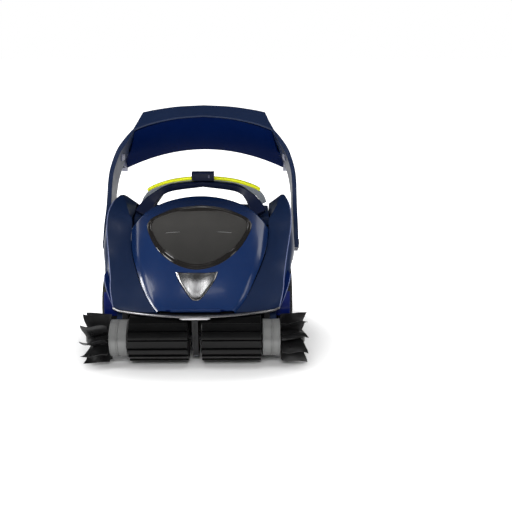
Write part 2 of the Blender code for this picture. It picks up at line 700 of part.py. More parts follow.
# ------------------------------------------------------------------ front brushes
def make_brush_housing(build, side_name):
    """The grey drum at a roller's outer end, which holds its bearing and gear."""
    side = SIDES[side_name]
    name = side_name + "_brush_housing"
    bore = SHAFT_RADIUS + GAP
    pocket = 0.0275
    profile = [(HOUSING_IN, bore), (HOUSING_IN, HOUSING_RADIUS), (HOUSING_OUT, HOUSING_RADIUS),
               (HOUSING_OUT, bore), (GEAR_OUT + 0.0010, bore), (GEAR_OUT + 0.0010, pocket),
               (GEAR_IN - 0.0010, pocket), (GEAR_IN - 0.0010, bore)]
    housing = build.piece(name, turned(profile, BRUSH_AXIS, side, 22), "grey")
    idler = GEARS["idler"]
    slot = build.cutter(name + "_slot", rod(
        (side * (GEAR_IN - 0.0010), idler.y, idler.z),
        (side * (GEAR_OUT + 0.0010), idler.y, idler.z), 0.0325, 24))
    build.boolean(housing, slot)


def make_roller(build, side_name):
    side = SIDES[side_name]
    pivot = side_name + "_brush_pivot"
    bore = SHAFT_RADIUS
    core = build.piece(side_name + "_roller_core", turned(
        [(0.0030, 0), (0.0030, bore), (ROLLER_IN, bore), (ROLLER_IN, 0.031),
         (ROLLER_OUT, 0.031), (ROLLER_OUT, bore), (0.2055, bore), (0.2055, 0)],
        BRUSH_AXIS, side, 16), "black", pivot)
    build.boolean(core, build.cutter(side_name + "_brush_gear", gear_solid("brush", side)),
                  "UNION")
    ribs = 14
    outline = []
    for rib in range(ribs):
        middle = 2 * math.pi * rib / ribs
        step = 2 * math.pi / ribs
        for radius, turn in ((0.0415, -0.13), (ROLLER_RADIUS, -0.07),
                             (ROLLER_RADIUS, 0.07), (0.0415, 0.13)):
            angle = middle + step * turn
            outline.append((BRUSH_AXIS.y + radius * math.cos(angle),
                            BRUSH_AXIS.z + radius * math.sin(angle)))
    sleeve = build.piece(side_name + "_roller_sleeve", prism(
        outline, side * (ROLLER_IN + 0.001), side * (ROLLER_OUT - 0.001)), "rubber", pivot)
    build.boolean(sleeve, build.cutter(side_name + "_sleeve_bore", rod(
        (0, BRUSH_AXIS.y, BRUSH_AXIS.z), (side * 0.150, BRUSH_AXIS.y, BRUSH_AXIS.z),
        0.0315, 20)))


def star_outline(centre, blades, hub, tip, root_width, tip_width, turn):
    """(Y, Z) points of a hub with straight blades, turned by an angle."""
    points = []
    for blade in range(blades):
        middle = turn + 2 * math.pi * blade / blades
        for radius, width in ((hub, -root_width), (tip, -tip_width), (tip, tip_width),
                              (hub, root_width)):
            angle = middle + math.asin(width / 2 / radius)
            reach = radius / math.cos(math.asin(width / 2 / radius)) if radius == tip else radius
            points.append((centre.y + reach * math.cos(angle),
                           centre.z + reach * math.sin(angle)))
    return points


def make_side_brush(build, side_name):
    """Nine broad blades that wind round a hub as they go outwards."""
    side = SIDES[side_name]
    pivot = side_name + "_brush_pivot"
    levels = 4
    rings = []
    for level in range(levels + 1):
        t = level / levels
        x = side * (SIDE_BRUSH_IN + (SIDE_BRUSH_OUT - SIDE_BRUSH_IN) * t)
        tip = (SIDE_BRUSH_RADIUS - 0.0008) * (0.90 + 0.10 * math.sin(math.pi * (0.2 + 0.8 * t)))
        outline = star_outline(BRUSH_AXIS, 9, 0.017, tip, 0.0080, 0.0034, 0.55 * t)
        rings.append([Vector((x, a, b)) for a, b in outline])
    brush = build.piece(side_name + "_side_brush", loft(rings), "rubber", pivot)
    build.boolean(brush, build.cutter(side_name + "_side_bore", rod(
        (side * 0.150, BRUSH_AXIS.y, BRUSH_AXIS.z), (side * 0.2060, BRUSH_AXIS.y,
                                                      BRUSH_AXIS.z),
        SHAFT_RADIUS + GAP, 20)))


def make_centre_bearing(build):
    """The strut between the rollers, with a bore for both shafts and a small foot."""
    outline = [(-0.1990, 0.0160), (-0.1810, 0.0160), (-0.1760, 0.0380), (-0.1760, 0.0700),
               (-0.1740, 0.0860), (-0.1740, 0.0940), (-0.1900, 0.0953), (-0.2060, 0.0953),
               (-0.2080, 0.0700), (-0.2060, 0.0380)]
    strut = build.piece("centre_bearing", prism(outline, -0.0060, 0.0060), "grey")
    build.boolean(strut, build.cutter("centre_bore", rod(
        (-0.02, BRUSH_AXIS.y, BRUSH_AXIS.z), (0.02, BRUSH_AXIS.y, BRUSH_AXIS.z),
        SHAFT_RADIUS + GAP, 20)))


# ------------------------------------------------------------------ drive and wheels
def make_drive(build, side_name):
    side = SIDES[side_name]
    motor = GEARS["motor"]
    pinion = build.piece(side_name + "_motor_pinion", gear_solid("motor", side), "gear",
                         side_name + "_motor_pivot")
    build.boolean(pinion, build.cutter(side_name + "_motor_shaft", rod(
        (side * 0.112, motor.y, motor.z), (side * (GEAR_OUT - 0.001), motor.y, motor.z),
        0.004, 16)), "UNION")
    for gear in ("transfer", "idler"):
        centre = GEARS[gear]
        name = side_name + ("_transfer_gear" if gear == "transfer" else "_brush_idler")
        obj = build.piece(name, gear_solid(gear, side), "gear",
                          side_name + "_" + gear + "_pivot")
        build.boolean(obj, build.cutter(name + "_bore", rod(
            (side * 0.13, centre.y, centre.z), (side * 0.17, centre.y, centre.z),
            0.004 + GAP, 16)))


def make_wheel(build, side_name, end):
    side = SIDES[side_name]
    axle = GEARS[end]
    prefix = side_name + "_" + end
    pivot = prefix + "_wheel_pivot"
    profile = [(GEAR_IN + 0.004, 0), (GEAR_IN + 0.004, 0.0140), (WHEEL_IN + 0.008, 0.0140),
               (WHEEL_IN + 0.008, 0.0550), (WHEEL_IN + 0.001, 0.0550),
               (WHEEL_IN + 0.001, TYRE_INNER), (WHEEL_OUT - 0.001, TYRE_INNER),
               (WHEEL_OUT - 0.001, 0.0560), (WHEEL_OUT - 0.008, 0.0520),
               (WHEEL_OUT - 0.008, 0.0200), (WHEEL_OUT - 0.001, 0.0200),
               (WHEEL_OUT - 0.001, 0.0)]
    wheel = build.piece(prefix + "_wheel", turned(profile, axle, side, 20), "black", pivot)
    build.boolean(wheel, build.cutter(prefix + "_wheel_gear", gear_solid(end, side)), "UNION")
    build.boolean(wheel, build.cutter(prefix + "_wheel_bore", rod(
        (side * (GEAR_IN - 0.01), axle.y, axle.z), (side * 0.1848, axle.y, axle.z),
        AXLE_RADIUS + GAP, 16)))
    tyre = [(WHEEL_IN, TYRE_INNER + TYRE_FIT), (WHEEL_IN, WHEEL_RADIUS),
            (WHEEL_OUT - 0.004, WHEEL_RADIUS), (WHEEL_OUT, WHEEL_RADIUS - 0.004),
            (WHEEL_OUT, TYRE_INNER + TYRE_FIT)]
    build.piece(prefix + "_tyre", turned(tyre, axle, side, 32), "rubber", pivot)


# ------------------------------------------------------- pump, motor and rear end
def make_motor_block(build):
    block = build.piece("motor_block", box((-0.128, 0.074, 0.0455), (0.128, 0.186, 0.168)),
                        "grey")
    top = build.cutter("motor_boss", rod((0, OUTLET.y, 0.160), (0, OUTLET.y, 0.178), 0.016, 24))
    build.boolean(block, top, "UNION")
    build.boolean(block, build.cutter("pump_bore", rod((0, OUTLET.y, 0.150),
                                                       (0, OUTLET.y, 0.190), 0.0053, 16)))
    motor = GEARS["motor"]
    for side_name, side in SIDES.items():
        build.boolean(block, build.cutter(side_name + "_shaft_bore", rod(
            (side * 0.108, motor.y, motor.z), (side * 0.140, motor.y, motor.z), 0.0045, 16)))


def upright_ring(outer, inner, low, high, segments=26):
    """A tube round the outlet's axis."""
    def ring(radius, z):
        return [Vector((radius * math.cos(a), OUTLET.y + radius * math.sin(a), z))
                for a in (2 * math.pi * i / segments for i in range(segments))]

    return loft([ring(outer, low), ring(outer, high), ring(inner, high), ring(inner, low)],
                "tube")


def make_pump(build):
    build.piece("pump_duct", upright_ring(DUCT_RADIUS, DUCT_RADIUS - 0.003, 0.1690, 0.2270),
                "black")
    rings = []
    for level in range(5):
        t = level / 4
        outline = star_outline(Vector((0, 0, 0)), 5, 0.014, 0.043, 0.0060, 0.0030, 0.75 * t)
        rings.append([Vector((a, OUTLET.y + b, 0.190 + 0.020 * t)) for a, b in outline])
    blades = build.piece("propeller", loft(rings), "grey", "propeller_pivot")
    build.boolean(blades, build.cutter("propeller_shaft", rod(
        (0, OUTLET.y, 0.155), (0, OUTLET.y, 0.214), 0.005, 16)), "UNION")


def rear_point(x, y, z):
    """A point of the rear cover: its sides fall a little from the middle."""
    return Vector((x, y, z - 0.006 * (x / 0.147) ** 2 * smooth_step(0.10, 0.20, z)))


def make_rear_cover(build):
    profile = [(0.052, 0.2150), (0.056, 0.2290), (0.066, 0.2345), (0.110, 0.2380),
               (0.150, 0.2370), (0.178, 0.2260), (0.194, 0.2050), (0.2020, 0.1700),
               (0.2050, 0.1200), (0.2050, 0.0700)]
    columns = [-0.1465, -0.08, 0.0, 0.08, 0.1465]
    sheet = loft([[rear_point(x, y, z) for x in columns] for y, z in profile], "sheet")
    cover = build.piece("rear_cover", sheet, "navy", sharp=40)
    shell_of(cover, SHELL_THICK, Vector((0, 0.5, 1)))
    build.boolean(cover, build.cutter("outlet_hole", rod(
        (0, OUTLET.y, 0.20), (0, OUTLET.y, 0.26), DUCT_RADIUS + 0.0015, 36)))
    build.boolean(cover, build.cutter("gland_hole", rod((0, 0.19, 0.150), (0, 0.22, 0.150),
                                                        0.0125, 24)))


def make_outlet_grille(build):
    """A ring with five bars and a hub over the duct."""
    grille = build.piece("outlet_grille", upright_ring(DUCT_RADIUS - 0.0002,
                                                       DUCT_RADIUS - 0.005, 0.2275, 0.2335),
                         "grey")
    for index in range(3):
        x = -0.024 + 0.024 * index
        reach = math.sqrt((DUCT_RADIUS - 0.003) ** 2 - x ** 2)
        bar = box((x - 0.0012, OUTLET.y - reach, 0.2282), (x + 0.0012, OUTLET.y + reach, 0.2328))
        build.boolean(grille, build.cutter("grille_bar_%d" % index, bar), "UNION")


HOOP = smooth_path([(0.1440, HOOP_Y, 0.2390), (0.1360, HOOP_Y, 0.2545),
                    (0.1190, HOOP_Y, 0.2690), (0.0800, HOOP_Y, 0.2830),
                    (0.0400, HOOP_Y, 0.2895), (0.0, HOOP_Y, 0.2915)], 3)


def hoop_rings(points, low, high, front, back):
    """Sections square to the hoop's line, between two heights above that line."""
    whole = points + [Vector((-p.x, p.y, p.z)) for p in points[-2::-1]]
    rings = []
    for i, point in enumerate(whole):
        ahead = whole[min(i + 1, len(whole) - 1)]
        behind = whole[max(i - 1, 0)]
        along = (ahead - behind).normalized()
        up = Vector((along.z, 0, -along.x))
        rings.append([point + up * low + Vector((0, front, 0)),
                      point + up * high + Vector((0, front, 0)),
                      point + up * high + Vector((0, back, 0)),
                      point + up * low + Vector((0, back, 0))])
    return rings


def make_hoop(build):
    build.piece("outlet_hoop", loft(hoop_rings(HOOP, -0.013, -0.0003, -0.009, 0.011)), "grey")
    build.piece("accent_band", loft(hoop_rings(HOOP[5:], 0.0, 0.0055, -0.0085, 0.0105)), "lime")


def make_cable_swivel(build):
    """The cord's inlet: a flanged gland in the rear wall and a socket that turns in it."""
    def round_y(profile, segments=14):
        rings = [[Vector((radius * math.cos(a), y, 0.150 + radius * math.sin(a)))
                  for a in (2 * math.pi * i / segments for i in range(segments))]
                 for y, radius in profile]
        return loft(rings, "tube")

    build.piece("cable_gland", round_y([(0.1985, 0.0122), (0.2062, 0.0122), (0.2062, 0.0185),
                                        (0.2110, 0.0170), (0.2110, 0.0088),
                                        (0.1985, 0.0088)]), "grey")
    build.piece("cable_swivel", round_y([(0.1960, 0.0084), (0.2114, 0.0084), (0.2114, 0.0130),
                                         (0.2300, 0.0110), (0.2360, 0.0075),
                                         (0.2360, 0.0048), (0.1960, 0.0048)]),
                "black", "cable_pivot")


# --------------------------------------------------------------- filter canister
def canister_outline(half, front, rear, bow):
    """(x, y) points of the canister's plan: a bowed front and two cut rear corners."""
    points = [(half * (2 * i / 8 - 1), front + bow * (2 * i / 8 - 1) ** 2) for i in range(9)]
    return points + [(half, rear - 0.022), (half - 0.022, rear), (-half + 0.022, rear),
                     (-half, rear - 0.022)]


def canister_ring(half, front, rear, bow, z):
    return [Vector((x, y, z)) for x, y in canister_outline(half, front, rear, bow)]


CAN_LOW, CAN_SHELF, CAN_TOP = 0.0500, 0.0820, 0.1980


def make_canister(build):
    pivot = "canister_pivot"
    outer = [canister_ring(0.104, -0.092, 0.036, 0.020, CAN_LOW),
             canister_ring(0.126, -0.106, 0.046, 0.026, CAN_SHELF - 0.010),
             canister_ring(0.128, -0.108, 0.048, 0.026, CAN_SHELF)]
    inner = [canister_ring(0.124, -0.104, 0.044, 0.026, CAN_SHELF),
             canister_ring(0.122, -0.102, 0.042, 0.026, CAN_SHELF - 0.009),
             canister_ring(0.101, -0.089, 0.033, 0.020, CAN_LOW + 0.003)]
    tray = build.piece("canister_tray", loft(outer + inner), "black", pivot)
    build.boolean(tray, build.cutter("canister_port", box((-0.056, -0.075, 0.040),
                                                          (0.056, -0.045, 0.060))))
    front_low = canister_ring(0.1255, -0.1050, 0.0455, 0.026, CAN_SHELF + GAP)
    front_top = canister_ring(0.1050, -0.0560, 0.0400, 0.014, CAN_TOP - 0.008)
    wall_low = canister_ring(0.1215, -0.1010, 0.0415, 0.026, CAN_SHELF + GAP)
    wall_top = canister_ring(0.1010, -0.0520, 0.0360, 0.014, CAN_TOP - 0.008)
    frame = build.piece("canister_frame", loft([front_low, front_top, wall_top, wall_low],
                                               "tube"), "black", pivot)
    for index, (low_x, high_x) in enumerate(((-0.100, -0.052), (-0.040, 0.040),
                                             (0.052, 0.100))):
        opening = loft([[Vector((low_x, -0.14, 0.094)), Vector((high_x, -0.14, 0.094)),
                         Vector((high_x * 0.86, -0.14, 0.176)),
                         Vector((low_x * 0.86, -0.14, 0.176))],
                        [Vector((low_x, 0.0, 0.094)), Vector((high_x, 0.0, 0.094)),
                         Vector((high_x * 0.86, 0.0, 0.176)),
                         Vector((low_x * 0.86, 0.0, 0.176))]])
        build.boolean(frame, build.cutter("canister_window_%d" % index, opening))
    side_port = box((-0.15, -0.058, 0.094), (0.15, 0.016, 0.174))
    build.boolean(frame, build.cutter("canister_side_ports", side_port))
    build.boolean(frame, build.cutter("canister_rear_port", box((-0.080, 0.020, 0.094),
                                                                (0.080, 0.060, 0.174))))
    screen = loft([
        canister_ring(0.1195, -0.0988, 0.0395, 0.026, CAN_SHELF + 0.0010),
        canister_ring(0.0994, -0.0504, 0.0344, 0.014, CAN_TOP - 0.0090),
        canister_ring(0.0976, -0.0486, 0.0326, 0.014, CAN_TOP - 0.0090),
        canister_ring(0.1177, -0.0970, 0.0377, 0.026, CAN_SHELF + 0.0010)], "tube")
    build.piece("canister_screen", screen, "mesh", pivot)
    cover = build.piece("canister_rim", loft([
        canister_ring(0.1060, -0.0570, 0.0410, 0.014, CAN_TOP - 0.0077),
        canister_ring(0.1060, -0.0570, 0.0410, 0.014, CAN_TOP),
        canister_ring(0.0960, -0.0470, 0.0310, 0.014, CAN_TOP + 0.0030)]), "black", pivot)
    build.boolean(cover, build.cutter("canister_mouth", box((-0.075, -0.036, 0.180),
                                                            (0.075, 0.020, 0.220))))
    duct = loft([
        [Vector((x, y, CAN_LOW + 0.0033)) for x, y in rounded_plan(0.060, -0.079, -0.041)],
        [Vector((x, y, 0.186)) for x, y in rounded_plan(0.034, -0.030, 0.000)],
        [Vector((x, y, 0.186)) for x, y in rounded_plan(0.0315, -0.0275, -0.0025)],
        [Vector((x, y, CAN_LOW + 0.0033)) for x, y in rounded_plan(0.0575, -0.0765, -0.0435)]],
        "tube")
    build.piece("intake_duct", duct, "clear", pivot)
    catch = build.piece("canister_catch", box((-0.030, -0.048, CAN_TOP + 0.0034),
                                              (0.030, -0.032, CAN_TOP + 0.0130)), "black",
                        pivot)
    edge = catch.modifiers.new("edge", "BEVEL")
    edge.width = 0.0015
    edge.segments = 1


def rounded_plan(half, front, rear, corner=0.008):
    """(x, y) points of a rectangle with cut corners."""
    return [(-half + corner, front), (half - corner, front), (half, front + corner),
            (half, rear - corner), (half - corner, rear), (-half + corner, rear),
            (-half, rear - corner), (-half, front + corner)]


# ---------------------------------------------------------------------- handle
LEAN = Vector((0, math.sin(math.radians(34)), math.cos(math.radians(34))))
ARM_BACK = Vector((0, LEAN.z, -LEAN.y))
SHOULDER = [(0.2090, 0.103, 0.291), (0.2072, 0.119, 0.315), (0.2014, 0.136, 0.339),
            (0.1912, 0.152, 0.364), (0.1750, 0.167, 0.386), (0.1615, 0.1740, 0.4005)]
RIDGE = [(0.1580, 0.1740, 0.4030), (0.1180, 0.1730, 0.4170), (0.0600, 0.1730, 0.4290),
         (0.0, 0.1730, 0.4340)]
RIM_BACK = [(-0.0165, 0.0500, 0.0330), (-0.0060, 0.0510, 0.0250), (0.0, 0.0520, 0.0200),
            (0.0, 0.0520, 0.0180)]


def handle_sections():
    """(front outer edge, depth vector, thickness vector) down one +X half."""
    rows = []
    inward = Vector((-ARM_THICK, 0, 0))
    for step in range(5):
        height = -0.012 + 0.140 * step / 5
        start = HANDLE_PIVOT + Vector((ARM_OUT, 0, 0)) + LEAN * height
        depth = ARM_DEPTH * (0.45 + 0.55 * smooth_step(0, 3, step))
        rows.append((start - ARM_BACK * depth * 0.5 * (1 - smooth_step(0, 4, step)),
                     ARM_BACK * depth, inward))
    shoulder = smooth_path(SHOULDER, 2)
    for i, point in enumerate(shoulder):
        t = i / (len(shoulder) - 1)
        back = (ARM_BACK * ARM_DEPTH).lerp(Vector((-0.010, 0.052, -0.006)), t)
        rows.append((point, back, Vector((-ARM_THICK, 0, -0.008 * t)) * (1 - 0.15 * t)))
    ridge, rim = smooth_path(RIDGE, 3), smooth_path(RIM_BACK, 3)
    for i, (point, back) in enumerate(zip(ridge, rim)):
        t = i / (len(ridge) - 1)
        rows.append((point, back, Vector((-0.006 * (1 - t), 0.0015, -0.0088))))
    return rows


def make_handle(build):
    half = []
    for edge, back, inward in handle_sections():
        half.append([edge, edge + back, edge + back + inward, edge + inward])
    other = [[Vector((-p.x, p.y, p.z)) for p in ring] for ring in half[-2::-1]]
    shell = build.piece("handle_shell", loft(half + other), "navy", "handle_pivot", sharp=35)
    for side_name, side in SIDES.items():
        build.boolean(shell, build.cutter(side_name + "_handle_eye", rod(
            (side * 0.19, HANDLE_PIVOT.y, HANDLE_PIVOT.z),
            (side * 0.22, HANDLE_PIVOT.y, HANDLE_PIVOT.z), AXLE_RADIUS + GAP, 20)))
        build.piece(side_name + "_handle_pin", turned(
            [(0.1800, 0), (0.1800, AXLE_RADIUS), (ARM_OUT + 0.0006, AXLE_RADIUS),
             (ARM_OUT + 0.0006, 0.0110), (ARM_OUT + 0.0018, 0.0100), (ARM_OUT + 0.0022, 0.0)],
            HANDLE_PIVOT, side, 20), "steel")
    make_float(build)


def make_float(build):
    """The dark buoyant panel that hangs from the handle's ridge between the arms."""
    columns = 17
    thick = Vector((0, 0.0085, 0.0065))
    rings = []
    for index in range(columns):
        s = 2 * index / (columns - 1) - 1
        top = Vector((0.1490 * s, 0.1785, 0.4195 - 0.0310 * s * s))
        low = Vector((0.1840 * s, 0.2300, 0.3480 - 0.0440 * s * s))
        belly = Vector((0, -0.004, -0.004))
        middle = top.lerp(low, 0.45) + belly - Vector((0.006 * s, 0, 0))
        rings.append([top, middle, low, low + thick, middle + thick * 1.4, top + thick * 0.8])
    build.piece("handle_float", loft(rings), "dark", "handle_pivot", sharp=50)
    for side_name, side in SIDES.items():
        outline = [(0.2020, 0.3150), (0.2330, 0.2960), (0.2390, 0.3040), (0.2080, 0.3260)]
        build.piece(side_name + "_float_clip", prism(outline, side * 0.1845, side * 0.1985),
                    "grey", "handle_pivot")


# ------------------------------------------------------------------------ main
def make_pivots(build):
    build.pivot("lid_pivot", LID_HINGE)
    build.pivot("latch_pivot", Vector((0, 0.1500, 0.2990)))
    build.pivot("canister_pivot", Vector((0, -0.030, CAN_LOW)))
    build.pivot("propeller_pivot", Vector((0, OUTLET.y, 0.200)))
    build.pivot("cable_pivot", Vector((0, 0.2110, 0.150)))
    build.pivot("handle_pivot", HANDLE_PIVOT)
    for side_name in SIDES:
        for gear, label in (("front", "_front_wheel_pivot"), ("rear", "_rear_wheel_pivot"),
                            ("transfer", "_transfer_pivot"), ("motor", "_motor_pivot"),
                            ("idler", "_idler_pivot"), ("brush", "_brush_pivot")):
            build.pivot(side_name + label, GEARS[gear])


def main():
    for obj in list(bpy.data.objects):
        bpy.data.objects.remove(obj, do_unlink=True)
    build = Build()
    make_pivots(build)
    make_tub(build)
    make_nose(build)
    make_lid(build)
    make_window(build)
    make_badge(build)
    make_grip(build)
    make_latch(build)
    make_hinge_rod(build)
    make_centre_bearing(build)
    make_motor_block(build)
    make_pump(build)
    make_rear_cover(build)
    make_outlet_grille(build)
    make_hoop(build)
    make_cable_swivel(build)
    make_canister(build)
    make_handle(build)
    for side_name in SIDES:
        make_fender(build, side_name)
        make_gear_cover(build, side_name)
        make_wheel_guard(build, side_name)
        make_brush_housing(build, side_name)
        make_roller(build, side_name)
        make_side_brush(build, side_name)
        make_drive(build, side_name)
        for end in ("front", "rear"):
            make_wheel(build, side_name, end)


main()
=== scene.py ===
"""Looks of the pool cleaner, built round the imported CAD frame.

Frame: metres, +X to the right as seen from the front, +Y to the rear, +Z up.
"left" names the -X side.  The two sides mirror each other.
Lists inside mm(...) are in millimetres.
"""
from math import cos, pi, radians, sin, sqrt

import bmesh
import bpy
from mathutils import Matrix, Vector


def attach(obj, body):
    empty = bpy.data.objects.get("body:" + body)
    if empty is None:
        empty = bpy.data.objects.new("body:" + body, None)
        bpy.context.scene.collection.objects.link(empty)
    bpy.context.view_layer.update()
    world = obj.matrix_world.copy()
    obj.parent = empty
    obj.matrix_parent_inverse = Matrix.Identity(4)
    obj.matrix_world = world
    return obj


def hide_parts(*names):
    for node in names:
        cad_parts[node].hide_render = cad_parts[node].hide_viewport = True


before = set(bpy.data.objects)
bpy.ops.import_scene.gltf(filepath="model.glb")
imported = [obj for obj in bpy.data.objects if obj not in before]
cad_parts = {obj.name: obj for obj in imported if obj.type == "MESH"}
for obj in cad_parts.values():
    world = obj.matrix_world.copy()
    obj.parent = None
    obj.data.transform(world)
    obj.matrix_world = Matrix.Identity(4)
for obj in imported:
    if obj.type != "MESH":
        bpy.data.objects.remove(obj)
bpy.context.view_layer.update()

SIDES = {"left": -1, "right": 1}
MM = 0.001


def mm(*points):
    """Points given in millimetres, in metres."""
    return [tuple(value * MM for value in point) for point in points]


# ---- camera, light
scene = bpy.context.scene
camera_data = bpy.data.cameras.new("camera")
camera_data.lens, camera_data.sensor_width = 50, 36
camera = bpy.data.objects.new("camera", camera_data)
camera.location = (0.1, -1.4516, 0.599)
camera.rotation_euler = (radians(73), 0, radians(-0.7))
scene.collection.objects.link(camera)
scene.camera = camera
scene.view_settings.view_transform = "Standard"
scene.view_settings.look = "None"


def softbox(name, place, target, size, power, mirrored=True):
    data = bpy.data.lights.new(name, "AREA")
    data.shape, data.energy = "RECTANGLE", power
    data.size, data.size_y = size
    lamp = bpy.data.objects.new(name, data)
    lamp.location = place
    aim = Vector(target) - Vector(place)
    lamp.rotation_euler = aim.to_track_quat("-Z", "Y").to_euler()
    lamp.visible_glossy = mirrored
    scene.collection.objects.link(lamp)


def make_room():
    """A white backdrop, even soft light, and a dark room for the reflections."""
    world = bpy.data.worlds.new("studio")
    scene.world = world
    world.use_nodes = True
    tree = world.node_tree
    tree.nodes.clear()
    path = add(tree, "LightPath")
    split = add(tree, "SeparateXYZ", {0: add(tree, "TexCoord")["Generated"]})
    above = ranged(tree, split["Z"], *ROOM_DARK, 0.35, 1, "SMOOTHSTEP")
    soft, white = (add(tree, "Background", {"Color": (shade, shade, shade, 1)})[0]
                   for shade in (ROOM_SOFT, 1))
    dark = add(tree, "Background", {"Color": above})[0]
    lit = add(tree, "MixShader", {0: path["Is Diffuse Ray"], 1: dark, 2: soft})[0]
    seen = add(tree, "MixShader", {0: path["Is Camera Ray"], 1: lit, 2: white})[0]
    add(tree, "OutputWorld", {"Surface": seen})


def make_floor():
    """A white floor that glows, but fades out in a soft oval round the robot, a painted shadow
    there; it glows less in reflections.
    """
    bpy.ops.mesh.primitive_plane_add(size=40)
    floor = bpy.context.object
    floor.name = "floor"
    mat, tree, shader, place = nodes_of("floor_white")
    oval = add(tree, "Mapping", {"Vector": place, "Location": (0, 0.135, 0),
                                 "Scale": (1, 1.35, 1)})[0]
    reach = add(tree, "VectorMath", {0: oval}, operation="LENGTH")["Value"]
    glow = ranged(tree, reach, 0, FLOOR_GLOW, *SHADOW_REACH, "SMOOTHSTEP")
    mirrored = add(tree, "LightPath")["Is Glossy Ray"]
    dimmed = ranged(tree, mirrored, 1, FLOOR_MIRRORED, 0, 1)
    shown = add(tree, "Math", {0: dimmed, 1: glow}, operation="MULTIPLY")[0]
    feed(tree, shader, {"Base Color": (0.9, 0.9, 0.9, 1), "Roughness": 0.9,
                        "Specular IOR Level": 0, "Emission Color": (1, 1, 1, 1),
                        "Emission Strength": shown})
    floor.data.materials.append(mat)


LAMPS = (       # name, place, target, width and depth, watts, and whether gloss shows it
    ("key", (0.05, -1.7, 1.25), (0, -0.02, 0.16), (0.9, 0.6), 17, False),
    ("overhead", (0.05, -0.46, 1.6), (0.05, -0.1, 0.15), (1.5, 0.4), 5, False),
    ("top_strip", (0, -0.8, 1.5), (0, -0.2, 0.12), (0.8, 0.1), 0.6),
    ("strip_left", (-1.15, -0.62, 1.15), (0, -0.05, 0.14), (0.34, 0.8), 5),
    ("strip_right", (1.3, -0.55, 0.95), (0, -0.05, 0.16), (0.2, 0.7), 1.3),
    ("flank_left", (-1.15, 0.42, 0.8), (0, -0.02, 0.2), (0.25, 0.6), 1.2),
    ("flank_right", (1.15, 0.36, 1.1), (0, -0.02, 0.2), (0.3, 0.7), 2),
    ("glint_left", (-1.25, -0.12, 0.5), (-0.1, -0.12, 0.14), (0.16, 0.2), 2.6),
    ("rear", (0, 0.95, 1.7), (0, 0.02, 0.2), (1.6, 0.8), 9, False))


# The floor's glow fades to none within the shadow reach of the oval's middle: a painted shadow.
FLOOR_GLOW, FLOOR_MIRRORED, SHADOW_REACH = 1.1, 0.3, (0.22, 0.44)
ROOM_DARK, ROOM_SOFT = (0.015, 0.07), 0.38          # low and high, and for soft light


# ---- materials
def feed(tree, node, inputs):
    """Set a node's inputs, each to a number, a colour or another node's output."""
    for name, value in inputs.items():
        if isinstance(value, bpy.types.NodeSocket):
            tree.links.new(value, node.inputs[name])
        else:
            node.inputs[name].default_value = value


def add(tree, kind, inputs=(), **settings):
    """Add a shader node and return its outputs."""
    node = tree.nodes.new("ShaderNode" + kind)
    for name, value in settings.items():
        setattr(node, name, value)
    feed(tree, node, dict(inputs))
    return node.outputs


def nodes_of(name):
    mat = bpy.data.materials.new(name)
    mat.use_nodes = True
    tree = mat.node_tree
    return mat, tree, tree.nodes["Principled BSDF"], add(tree, "TexCoord")["Object"]


def noise(tree, place, scale, detail, stretch=None):
    if stretch:
        place = add(tree, "Mapping", {"Vector": place, "Scale": stretch})[0]
    return add(tree, "TexNoise", {"Vector": place, "Scale": scale, "Detail": detail})["Fac"]


def ranged(tree, value, low, high, from_low=0.3, from_high=0.7, easing="LINEAR"):
    inputs = {"Value": value, "From Min": from_low, "From Max": from_high, "To Min": low,
              "To Max": high}
    return add(tree, "MapRange", inputs, interpolation_type=easing)["Result"]


def blended(tree, factor, first, second):
    inputs = {"Factor": factor, "A": (*first, 1), "B": (*second, 1)}
    return add(tree, "Mix", inputs, data_type="RGBA")["Result"]


def clouded(tree, place, scale, detail, first, second, painted_height_shade):
    """A cloudy blend of two colours; the last argument scales it by height, a painted shade for
    how light falls.
    """
    clouds = noise(tree, place, scale, detail)
    shade = blended(tree, ranged(tree, clouds, 0, 1), first, second)
    # painted shade: the colour is scaled from one share to another over a range of heights
    if painted_height_shade:
        heights, shares = painted_height_shade
        height = add(tree, "SeparateXYZ", {0: place})["Z"]
        share = ranged(tree, height, *shares, *heights)
        shade = add(tree, "VectorMath", {0: shade, "Scale": share}, operation="SCALE")[0]
    return shade


def bumped(tree, height, strength, distance):
    inputs = {"Height": height, "Strength": strength, "Distance": distance}
    return add(tree, "Bump", inputs)["Normal"]


WAVE_UNIT = 0.314                           # one band of a wave texture at scale 1


def waved(tree, place, axis, width, distortion, **inputs):
    inputs.update({"Vector": place, "Scale": WAVE_UNIT / width, "Distortion": distortion})
    return add(tree, "TexWave", inputs, bands_direction=axis)["Fac"]


def moulded(name, colour, worn, rough, grain, coat=0, specular=0.5, metallic=0, painted_height_shade=None):
    """Moulded plastic: cloudy colour, patchy roughness and a fine skin texture, and at will a
    painted shade by height.
    """
    mat, tree, shader, place = nodes_of(name)
    size, strength = grain
    feed(tree, shader, {"Base Color": clouded(tree, place, 9, 4, colour, worn, painted_height_shade),
        "Roughness": ranged(tree, noise(tree, place, 60, 3), *rough),
        "Normal": bumped(tree, noise(tree, place, size, 2), strength, 0.0004),
        "Specular IOR Level": specular, "Metallic": metallic})
    if coat:
        feed(tree, shader, {"Coat Weight": coat, "Coat Roughness": 0.06})
    return mat


def brushed(name, colour, worn, rough, stretch):
    """Metal with fine lines along one axis."""
    mat, tree, shader, place = nodes_of(name)
    lines = noise(tree, place, 55, 4, stretch)
    feed(tree, shader, {"Base Color": blended(tree, ranged(tree, lines, 0, 1), colour, worn),
                        "Roughness": ranged(tree, lines, *rough), "Metallic": 1,
                        "Normal": bumped(tree, lines, 0.12, 0.0003)})
    return mat


